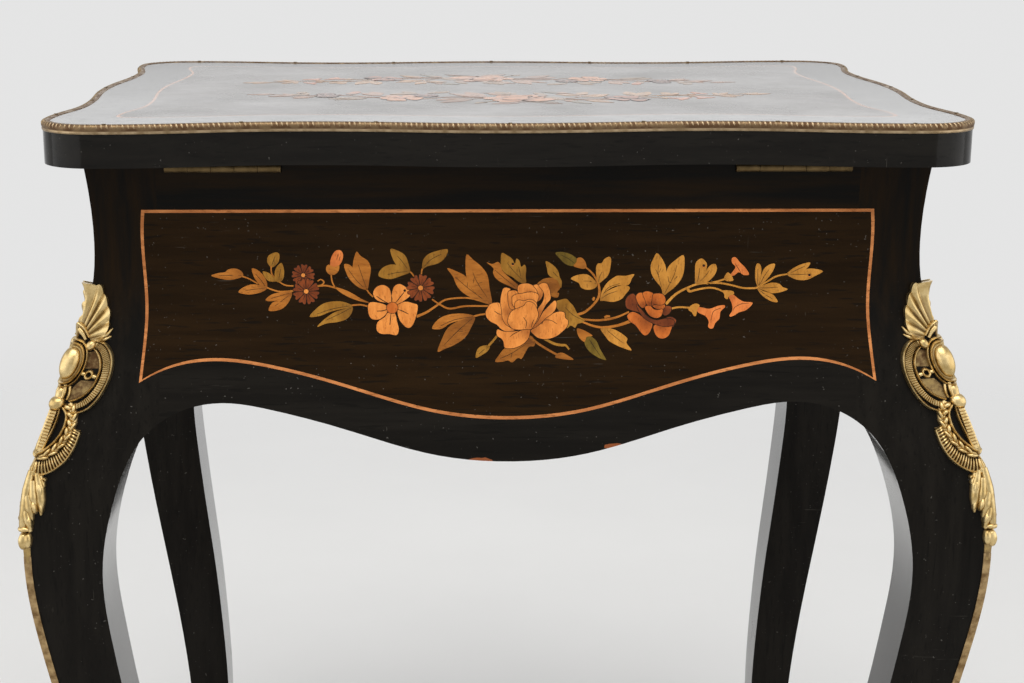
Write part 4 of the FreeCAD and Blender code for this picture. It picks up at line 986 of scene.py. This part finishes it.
def ringStroke(casting, t, z, rt, rz, width, high, steps=28, sides=6):
    rows = []
    for k in range(steps):
        angle = 2 * math.pi * k / steps
        row = []
        for side in range(sides + 1):
            turn = math.pi * side / sides
            grow = math.cos(turn) * width / 2
            lift = math.sin(turn) * high
            edge = Vector((t + math.cos(angle) * (rt + grow), z + math.sin(angle) * (rz + grow)))
            row.append(casting.vert(edge.x, edge.y, lift - (seat if side in (0, sides) else 0)))
        rows.append(row)
    for index in range(steps):
        a, b = rows[index], rows[(index + 1) % steps]
        for k in range(sides):
            casting.work.faces.new((a[k], a[k + 1], b[k + 1], b[k]))
        casting.work.faces.new((a[0], b[0], b[-1], a[-1]))


def plate(casting, inner, outer, high, across=4, steps=5):  # thin web between two lines
    rows = []
    for a, b in zip(curvePoints(inner, steps), curvePoints(outer, steps)):
        spots = [a + (b - a) * k / across for k in range(across + 1)]
        row = [casting.vert(a.x, a.y, -seat)] + [casting.vert(spot.x, spot.y, high) for spot in spots]
        rows.append(row + [casting.vert(b.x, b.y, -seat)])
    casting.close(rows)


def plume(casting, look):  # fluted shell that curls out at its scalloped edge
    columns, rows = [], look["rows"]
    edge = curvePoints(look["edge"], 6)
    count = len(edge) - 1
    for column in range(-count, count + 1):
        share = abs(column) / count
        side = 1 if column >= 0 else -1
        lobe = abs(math.cos(share * math.pi * look["flutes"]))
        root = Vector((share * look["rootWide"], look["rootHigh"] - look["rootFall"] * share * share))
        tip = root + (edge[abs(column)] - root) * (0.93 + 0.07 * lobe)
        lip = look["lip"] * (1 - share ** 1.3) + look["lipEnd"]
        line = [casting.vert(side * root.x, root.y, -seat)]
        for row in range(rows + 1):
            far = row / rows
            curl = max(0.0, (far - 0.5) / 0.5)
            spot = root + (tip - root) * far
            high = look["web"] + look["depth"] * lobe * (0.35 + 0.65 * far) + lip * curl ** 2
            line.append(casting.vert(side * spot.x, spot.y, high))
        fall = root + (tip - root) * 0.985
        line.append(casting.vert(side * tip.x, tip.y, 0.8 * (look["web"] + look["depth"] * lobe + lip)))
        line.append(casting.vert(side * fall.x, fall.y, -seat))
        columns.append(line)
    casting.close(columns)


plumeLook = {"edge": [(0, 622.6), (4.0, 623.4), (7.4, 621.2), (10.2, 616.6), (12.8, 611.8), (15.6, 606.6),
                      (17.6, 601), (18.6, 595.4), (17.8, 590), (15.8, 586)],
             "rows": 9, "flutes": 5.0, "rootWide": 9.0, "rootHigh": 594.0, "rootFall": 8.0, "lip": 3.2,
             "lipEnd": 1.2, "web": 0.8, "depth": 2.8}


def cornerCasting():
    c = Casting(legRidge)
    plume(c, plumeLook)
    for sign in (1, -1):
        c.side = sign
        # leaflets beside the plume
        ridgeStroke(c, [(15, 588), (18.5, 590.5), (20.8, 594.2)], [2.0, 3.4, 1.2], [2.2, 3.2, 1.4], 5)
        ridgeStroke(c, [(14.5, 586.5), (18.5, 587.5), (21.6, 589.2)], [2.0, 3.0, 1.2], [2.2, 2.8, 1.2], 5)
        # gable over the cabochon
        ridgeStroke(c, [(0, 597), (3.6, 593.2), (7.6, 588.4)], [2.2, 2.0, 1.6], [4.6, 4.0, 3.2], 6)
        ridgeStroke(c, [(0, 593.6), (2.6, 590.8), (5.6, 587)], [3.4, 3.0, 2.2], [2.8, 2.6, 2.2], 5)
        # scroll that bulges over the knee
        dome(c, 10.2, 583.6, 3.8, 3.9, 5.2, 0, 5, 18, 0.5)
        outer = [(12.4, 586.4), (19.5, 584), (25.4, 577.6), (28.2, 569.5), (28.4, 560), (25.6, 550),
                 (20.6, 543.6), (11.6, 540.4)]
        middle = [(13, 584), (18, 581.4), (22.6, 575.6), (24.9, 568.6), (24.8, 560), (21.8, 552.4),
                  (17, 547.2), (10, 544.4)]
        inner = [(13, 581.2), (16.2, 578.6), (19.6, 573.4), (21.2, 567.6), (20.6, 560.4), (18, 555),
                 (13.6, 550.8), (7.6, 548.6)]
        ridgeStroke(c, outer, [1.6, 2.2, 2.4, 2.4, 2.4, 2.2, 1.8], [3.0, 4.2, 4.8, 4.8, 4.4, 4.0, 3.0], 6)
        ridgeStroke(c, middle, [3.4, 5.0, 5.8, 5.8, 5.8, 5.2, 3.8], 2.4, 6, 4, 0.3)
        ridgeStroke(c, inner, [1.4, 2.0, 2.2, 2.2, 2.2, 2.0, 1.6], [2.6, 3.6, 4.2, 4.2, 4.0, 3.4, 2.6], 6)
        reeds = curvePoints(middle, 6)
        for index in range(2, len(reeds) - 2):
            spot, ahead = reeds[index], (reeds[index + 1] - reeds[index - 1]).normalized()
            across = Vector((-ahead.y, ahead.x)) * 1.9
            ridgeStroke(c, [tuple(spot - across), tuple(spot + across)], 0.9, 3.5, 2, 4)
        # small eyelet joining the scroll to the cabochon
        ringStroke(c, 14.8, 565, 2.3, 2.3, 2.2, 3.8, 14)
        ridgeStroke(c, [(9.8, 566), (12.6, 565.4)], 3.0, 3.0, 3)
        ridgeStroke(c, [(16.4, 564.6), (20, 563.6)], 3.0, 2.8, 3)
        plate(c, [(9.4, 579), (11, 572), (11, 569)], [(15.6, 580), (19.6, 573), (20.6, 569)], 0.3)
        plate(c, [(10.6, 561.6), (7, 557), (6.4, 549)], [(20, 561), (18, 554.4), (10, 548.4)], 0.3)
        # neck flutes
        ridgeStroke(c, [(2.2, 559), (2.8, 554), (2.4, 550)], [2.4, 2.8, 2.2], [3.0, 3.8, 3.0], 4)
        ridgeStroke(c, [(5.0, 558), (6.0, 553.6), (5.6, 549.6)], [2.2, 2.4, 2.0], [2.4, 3.0, 2.4], 4)
        # lower cartouche, its ribbed band and pierced eye
        ridgeStroke(c, [(3.4, 544), (4.0, 536), (3.0, 527), (1.6, 518)], [1.4, 1.7, 1.7, 1.4],
                    [3.0, 3.8, 3.8, 3.2], 6)
        ridgeStroke(c, [(5.0, 545), (9.4, 540), (10.4, 532), (8.0, 524.6), (3.4, 519.4), (0, 516.4)],
                    [1.8, 2.4, 2.6, 2.6, 2.4, 2.0], [3.4, 4.4, 4.6, 4.4, 4.2, 3.6], 6)
        wreath = curvePoints([(8.4, 547.4), (12.8, 541), (14.8, 533), (13, 524.4), (8, 517.8),
                             (1.6, 514.4)], 3)
        ridgeStroke(c, [tuple(spot) for spot in wreath], [3.6, 6.4, 6.6, 6.2, 4.0],
                    [2.2, 2.8, 2.8, 2.8, 2.6], 2, 6)
        for index in range(1, len(wreath) - 1):  # overlapping leaves, turned in and out by turns
            ahead = wreath[index + 1] - wreath[index - 1]
            lean = math.atan2(-ahead.x, ahead.y) + (0.5 if index % 2 else -0.35)
            beside = Vector((ahead.y, -ahead.x)).normalized() * sign * (1.3 if index % 2 else -1.3)
            spot = wreath[index] + beside
            dome(c, spot.x, spot.y, 1.9, 4.1, 4.6 + 0.5 * (index % 2), lean, 4, 12, 0.6)
        # gadrooned fringe
        low = curvePoints([(21.6, 529.6), (21.6, 522), (19.6, 514.4), (15, 508.6), (8.4, 504.6),
                          (0, 503.2)], 4)
        top = curvePoints([(15.6, 532), (16, 525), (14, 519.4), (10, 515.2), (5, 512.4), (0, 511.4)], 4)
        for a, b in zip(low, top):
            ridgeStroke(c, [tuple(b), tuple((a + b) / 2), tuple(a)], [1.2, 1.9, 2.1], [2.2, 3.8, 3.4], 3, 5)
        for a, b in zip(zip(low, low[1:]), zip(top, top[1:])):
            mid = [(a[0] + b[0]) / 2, (a[1] + b[1]) / 2]
            ridgeStroke(c, [tuple(p) for p in mid], 6.4, 1.6, 2, 4, 0.3)
        ridgeStroke(c, [tuple(p) for p in low], 2.2, [2.8, 3.6, 3.8, 3.6, 3.2], 2, 6)
        # curl and acanthus drop
        curl = [(8.4 + math.cos(a * 0.7) * (0.5 + 0.42 * a), 499.6 + math.sin(a * 0.7) * (0.5 + 0.42 * a))
                for a in range(8)]
        ridgeStroke(c, curl + [(5.2, 503)], [1.4, 2.2, 2.8], [4.0, 3.8, 3.4], 3)
        ridgeStroke(c, [(2.6, 505), (6.0, 496), (8.6, 486.6), (9.8, 477.6)], [3.6, 7.0, 6.4, 1.6],
                    [3.4, 4.8, 4.2, 1.6], 7, 7)
        ridgeStroke(c, [(1.6, 500), (3.8, 489), (6.6, 480)], [3.2, 6.4, 2.0], [4.2, 5.4, 2.2], 6, 7)
        ridgeStroke(c, [(0.8, 491), (2.6, 482), (4.6, 474.4)], [3.0, 5.6, 2.2], [4.8, 5.4, 2.6], 6, 7)
        ridgeStroke(c, [(1.0, 481), (2.4, 474), (4.2, 467.6)], [3.0, 4.8, 2.4], [4.6, 5.2, 3.2], 5, 7)
        for t, z, wide, long, high, lean in ((6.8, 494.6, 2.5, 6.4, 5.4, 0.42),
                                             (4.9, 483.4, 2.4, 5.8, 6.0, 0.36),
                                             (3.3, 474.2, 2.0, 4.6, 5.8, 0.3),
                                             (9.4, 482.6, 1.8, 4.4, 4.0, 0.3)):
            dome(c, t, z, wide, long, high, lean, 5, 14, 0.6)  # leaf tips that curl out
        dome(c, 3.6, 468, 1.8, 2.0, 3.6, 0, 4, 12)
    c.side = 1
    ringStroke(c, 0, 572.2, 8.4, 12.6, 1.8, 4.4)
    ringStroke(c, 0, 572.2, 10.6, 14.8, 1.8, 3.6)
    dome(c, 0, 572.2, 9.5, 13.7, 2.2, 0, 4, 28, 0.25)
    dome(c, 0, 572.2, 6.9, 11.0, 6.8, 0, 8, 28, 0.5)
    dome(c, 0, 547.2, 5.6, 5.0, 5.6, 0, 6, 20, 0.5)
    dome(c, 0, 552.5, 3.8, 6.5, 3.2, 0, 4, 16, 0.5)
    for k in range(13):  # ribs over the ridge
        z = 542.4 - k * 1.85
        ridgeStroke(c, [(-3.0, z), (0, z + 0.5), (3.0, z)], 0.9, [2.6, 3.6, 2.6], 4, 4)
    ridgeStroke(c, [(0, 544), (0, 530), (0, 518)], 5.6, 2.2, 8, 4, 0.3)
    ridgeStroke(c, [(0, 506), (0, 494), (0, 480), (0, 470)], [3.0, 4.0, 4.2, 3.4],
                [4.4, 5.6, 5.2, 4.6], 8, 7)
    dome(c, 0, 468.6, 4.4, 2.4, 5.2, 0, 4, 16)
    for sign in (-1, 0, 1):
        dome(c, sign * 2.5, 460.4 + abs(sign) * 0.5, 2.6, 6.4 - abs(sign) * 0.6,
             4.9 - abs(sign) * 0.6, 0, 6, 16)
    # strap down to the leg's edging
    ridgeStroke(c, [(0, 458), (0, 451), (0, 445)], 7.6, [1.6, 1.0, 1.0], 3, 6, 0.4)
    return c


def shoeCasting():  # acanthus leaf and rim on the foot
    c = Casting(shoeRidge)
    ridgeStroke(c, [(0, 10), (0, 30), (0, 50), (0, 66)], [5.0, 4.4, 3.6, 1.6], [1.6, 1.8, 1.6, 0.9], 5, 6)
    for sign in (1, -1):
        c.side = sign
        for low, reach, high in ((12, 15, 30), (22, 13.5, 41), (32, 11.5, 51), (42, 8.5, 60)):
            path = [(1.0, low), (reach * 0.62, low + (high - low) * 0.45), (reach, high)]
            ridgeStroke(c, path, [2.2, 4.2, 1.4], [1.0, 1.7, 0.8], 6, 6)
        ridgeStroke(c, [(0, 7), (10, 7.6), (19, 8.4)], [3.4, 3.0, 2.2], [1.7, 1.5, 1.0], 5, 6)
        curl = [(20 + math.cos(k * 0.75) * (0.8 + 0.4 * k), 13.5 + math.sin(k * 0.75) * (0.8 + 0.4 * k))
                for k in range(9)]
        ridgeStroke(c, curl, [1.2, 1.6, 2.0], [1.6, 1.5, 1.2], 3)
    return c


def spreadCasting(casting, label, node):  # the one casting mirrored to the four corners
    cast = bpy.data.meshes.new("cast")
    casting.work.to_mesh(cast)
    casting.work.free()
    for corner, sx, sy in corners:
        work = bmesh.new()
        work.from_mesh(cast)
        for vert in work.verts:
            vert.co.x *= sx
            vert.co.y *= sy
        bmesh.ops.recalc_face_normals(work, faces=work.faces)
        shadeSmooth(work, 60.0)
        piece = newPiece(label + corner, work, finishes["gilt"])
        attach(piece, "case")
        if node:
            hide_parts(node + corner)
    bpy.data.meshes.remove(cast)


spreadCasting(cornerCasting(), "bronze_mount_", "corner_mount_")
spreadCasting(shoeCasting(), "shoe_leaf_", None)
for corner, sx, sy in corners:
    smoothCopy("sabot_" + corner, finishes["gilt"], "case", sharp=40.0, relief=0.5)
print("corner mounts and shoes cast:", len(corners))

# Brass rim of the lid
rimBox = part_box("rim_front_right")[1]
rimLook = {"halfX": rimBox.x / mm, "halfY": rimBox.y / mm, "corner": 37.0, "longTrough": 15.0,
           "longCrown": 11.0, "sideTrough": 9.5, "sideCrown": 6.5, "longAt": 0.43, "sideAt": 0.476,
           "wave": 0.45, "turn": 0.552, "beads": 620, "beadSize": (1.25, 2.75, 2.2), "beadSlant": 28.0,
           "beadInset": 2.6, "beadZ": 727.7, "grimeFrom": 725.3, "grimeRelief": 0.15, "edgeRelief": 0.6,
           "beadRelief": 0.75}


def rimPath(inset, steps=14):
    r = rimLook
    hx, hy = r["halfX"] - inset, r["halfY"] - inset
    cx, cy = r["halfX"] - r["corner"], r["halfY"] - r["corner"]
    rows = [(hx - r["sideTrough"] + r["sideCrown"], 0, "y"),
            (hx - r["sideTrough"], r["sideAt"] * r["halfY"], "y"), (hx, cy, "y"),
            (cx, hy, "x"), (r["longAt"] * r["halfX"], hy - r["longTrough"], "x"),
            (0, hy - r["longTrough"] + r["longCrown"], "x")]
    rows += [(-x, y, run) for x, y, run in rows[-2::-1]]
    rows += [(x, -y, run) for x, y, run in rows[-2:0:-1]]
    spots = []
    for index, (x0, y0, run0) in enumerate(rows):
        x1, y1, run1 = rows[(index + 1) % len(rows)]
        share = r["wave"] if run0 == run1 else r["turn"]  # handles along a wave or round a corner
        a = Vector((x0, y0))
        d = Vector((x1, y1))
        b = a + (Vector((share * (x1 - x0), 0)) if run0 == "x" else Vector((0, share * (y1 - y0))))
        e = d - (Vector((share * (x1 - x0), 0)) if run1 == "x" else Vector((0, share * (y1 - y0))))
        for step in range(steps):
            t = step / steps
            spots.append(a * (1 - t) ** 3 + b * 3 * t * (1 - t) ** 2 + e * 3 * t * t * (1 - t) + d * t ** 3)
    return spots


rimProfile = [(0.75, 723.5), (0.55, 724.1), (0.5, 725.0), (0.75, 725.5), (0.45, 726.0), (0.3, 727.0),
              (0.55, 728.2), (1.3, 729.2), (2.4, 729.6), (3.6, 729.6), (4.6, 729.2), (5.2, 729.5),
              (5.8, 729.4), (6.2, 729.0), (6.2, 727.0), (4.0, 723.6)]
rimMesh = bmesh.new()
rimLayer = rimMesh.verts.layers.float.new("relief")
rimRows = []
for inset, z in rimProfile:
    row = [rimMesh.verts.new((spot.x * mm, spot.y * mm, z * mm)) for spot in rimPath(inset)]
    for vert in row:
        vert[rimLayer] = rimLook["grimeRelief"] if z > rimLook["grimeFrom"] else rimLook["edgeRelief"]
    rimRows.append(row)
count = len(rimRows[0])
for a, b in zip(rimRows, rimRows[1:] + rimRows[:1]):
    for k in range(count):
        rimMesh.faces.new((a[k], a[(k + 1) % count], b[(k + 1) % count], b[k]))
bmesh.ops.recalc_face_normals(rimMesh, faces=rimMesh.faces)
for face in rimMesh.faces:
    face.smooth = True

# beads of the knurled roll: instances along the rim's line
beadTree = bpy.data.node_groups.new("rimKnurl", "GeometryNodeTree")
beadTree.interface.new_socket(name="Geometry", in_out="INPUT", socket_type="NodeSocketGeometry")
countSocket = beadTree.interface.new_socket(name="Beads", in_out="INPUT", socket_type="NodeSocketInt")
sizeSocket = beadTree.interface.new_socket(name="Bead size", in_out="INPUT", socket_type="NodeSocketVector")
finishSocket = beadTree.interface.new_socket(name="Finish", in_out="INPUT",
                                             socket_type="NodeSocketMaterial")
beadTree.interface.new_socket(name="Geometry", in_out="OUTPUT", socket_type="NodeSocketGeometry")
bIn = beadTree.nodes.new("NodeGroupInput").outputs
bOut = beadTree.nodes.new("NodeGroupOutput").inputs
asCurve = put(beadTree, "GeometryNodeMeshToCurve", {}, {0: bIn["Geometry"]})
even = put(beadTree, "GeometryNodeResampleCurve", {}, {"Curve": asCurve.outputs[0], "Count": bIn["Beads"]})
ball = put(beadTree, "GeometryNodeMeshUVSphere", {}, {"Segments": 8, "Rings": 5, "Radius": 1.0})
tangent = put(beadTree, "GeometryNodeInputTangent")
turned = put(beadTree, "FunctionNodeAlignRotationToVector", {"axis": "X"}, {"Vector": tangent.outputs[0]})
slant = put(beadTree, "FunctionNodeRotateRotation", {"rotation_space": "LOCAL"},
            {"Rotation": turned.outputs[0]})
slant.inputs["Rotate By"].default_value = (0.0, 0.0, math.radians(rimLook["beadSlant"]))
placed = put(beadTree, "GeometryNodeInstanceOnPoints", {}, {"Points": even.outputs[0],
             "Instance": ball.outputs[0], "Rotation": slant.outputs[0], "Scale": bIn["Bead size"]})
real = put(beadTree, "GeometryNodeRealizeInstances", {}, {0: placed.outputs[0]})
coated = put(beadTree, "GeometryNodeSetMaterial", {}, {"Geometry": real.outputs[0],
             "Material": bIn["Finish"]})
smoothed = put(beadTree, "GeometryNodeSetShadeSmooth", {}, {"Geometry": coated.outputs[0]})
beadTree.links.new(smoothed.outputs[0], bOut[0])

lineMesh = bpy.data.meshes.new("rimLine")
linePoints = rimPath(rimLook["beadInset"], 20)
lineEdges = [(k, (k + 1) % len(linePoints)) for k in range(len(linePoints))]
lineMesh.from_pydata([(spot.x * mm, spot.y * mm, rimLook["beadZ"] * mm) for spot in linePoints],
                     lineEdges, [])
lineObject = bpy.data.objects.new("rimLine", lineMesh)
scene.collection.objects.link(lineObject)
knurl = lineObject.modifiers.new("knurl", "NODES")
knurl.node_group = beadTree
knurl[countSocket.identifier] = rimLook["beads"]
knurl[sizeSocket.identifier] = [size * mm for size in rimLook["beadSize"]]
knurl[finishSocket.identifier] = finishes["rim"]
bpy.context.view_layer.update()
beadMesh = bpy.data.meshes.new_from_object(lineObject.evaluated_get(bpy.context.evaluated_depsgraph_get()))
bpy.data.objects.remove(lineObject)
baseCount = len(rimMesh.verts)
rimMesh.from_mesh(beadMesh)
rimMesh.verts.ensure_lookup_table()
rimLayer = rimMesh.verts.layers.float["relief"]
for vert in rimMesh.verts[baseCount:]:
    vert[rimLayer] = rimLook["beadRelief"]
for face in rimMesh.faces:
    face.material_index = 0
rimPiece = newPiece("lid_rim", rimMesh, finishes["rim"])
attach(rimPiece, "lid")
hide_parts(*["rim_" + corner for corner, sx, sy in corners])
print("rim knurled:", len(rimPiece.data.polygons), "faces")

# Floor, light and camera
stageLook = {"colour": (0.8, 0.8, 0.795, 1), "stain": (0.76, 0.76, 0.755, 1), "reach": 2.6, "solid": 0.9,
             "paleRoom": 0.78, "dimRoom": 0.4}


def fadingFloor():
    mesh = bpy.data.meshes.new("paleFloor")
    ring = ringOf(0.0, 0.0, stageLook["reach"], 64)
    mesh.from_pydata([(x, y, 0.0) for x, y in ring], [], [range(len(ring))])
    finish, tree, shader = newFinish("paleCloth", Roughness=0.9)
    spot = objectSpot(tree)
    soft = noise(tree, spot, 5.0, 3.0)
    tree.links.new(mixColour(tree, soft, stageLook["colour"], stageLook["stain"]),
                   shader.inputs["Base Color"])
    far = put(tree, "ShaderNodeVectorMath", {"operation": "LENGTH"}, {0: spot}).outputs["Value"]
    solid = calc(tree, "SUBTRACT", 1.0, ramp(tree, far, stageLook["solid"], stageLook["reach"]))
    below = put(tree, "ShaderNodeNewGeometry").outputs["Backfacing"]  # clear when seen from below
    tree.links.new(calc(tree, "MULTIPLY", solid, calc(tree, "SUBTRACT", 1.0, below)),
                   shader.inputs["Alpha"])
    mesh.materials.append(finish)
    floor = bpy.data.objects.new("paleFloor", mesh)
    scene.collection.objects.link(floor)


fadingFloor()
world = bpy.data.worlds.new("softRoom")
world.use_nodes = True
sky = world.node_tree
rays = put(sky, "ShaderNodeLightPath").outputs
seen = calc(sky, "MAXIMUM", rays["Is Glossy Ray"], rays["Is Transmission Ray"])
seen = calc(sky, "MAXIMUM", rays["Is Camera Ray"], seen)  # the room is pale to these and dim to the rest
glow = addScaled(sky, stageLook["dimRoom"], seen, stageLook["paleRoom"] - stageLook["dimRoom"])
sky.links.new(glow, sky.nodes["Background"].inputs["Strength"])
sky.nodes["Background"].inputs["Color"].default_value = (1.0, 1.0, 1.0, 1)
scene.world = world


def softBox(name, place, target, size, power, colour=(1, 1, 1)):
    lamp = bpy.data.lights.new(name, "AREA")
    lamp.shape = "RECTANGLE"
    lamp.size, lamp.size_y = size
    lamp.energy = power
    lamp.color = colour
    holder = bpy.data.objects.new(name, lamp)
    holder.location = place
    holder.rotation_euler = (Vector(target) - Vector(place)).to_track_quat("-Z", "Y").to_euler()
    scene.collection.objects.link(holder)


lamps = {
    "overhead": {"place": (0.0, -0.9, 2.6), "target": (0, -0.1, 0.6), "size": (2.0, 1.4), "power": 42,
                 "colour": (1.0, 0.98, 0.95)},
    "leftWindow": {"place": (-2.4, -1.05, 1.3), "target": (0, 0, 0.62), "size": (3.8, 2.4), "power": 38},
    "rightWindow": {"place": (2.4, -1.05, 1.3), "target": (0, 0, 0.62), "size": (3.8, 2.4), "power": 36.5},
    "backPanel": {"place": (0.0, 2.5, 1.55), "target": (0, 0, 0.75), "size": (3.2, 1.1), "power": 11},
}
for name, lamp in lamps.items():
    softBox(name, **lamp)

cameraLook = {"place": (-0.0426, -1.3456, 0.8658), "pitch": 13.89, "yaw": 0.59, "lens": 62.7, "film": 36.0,
              "shift": 0.0498}
lensData = bpy.data.cameras.new("photoCamera")
lensData.lens = cameraLook["lens"]
lensData.sensor_width = cameraLook["film"]
lensData.shift_x = cameraLook["shift"]
camera = bpy.data.objects.new("photoCamera", lensData)
camera.location = cameraLook["place"]
camera.rotation_euler = (math.radians(90 - cameraLook["pitch"]), 0, math.radians(-cameraLook["yaw"]))
scene.collection.objects.link(camera)
scene.camera = camera
scene.view_settings.view_transform = "Standard"
print("stage and camera set")
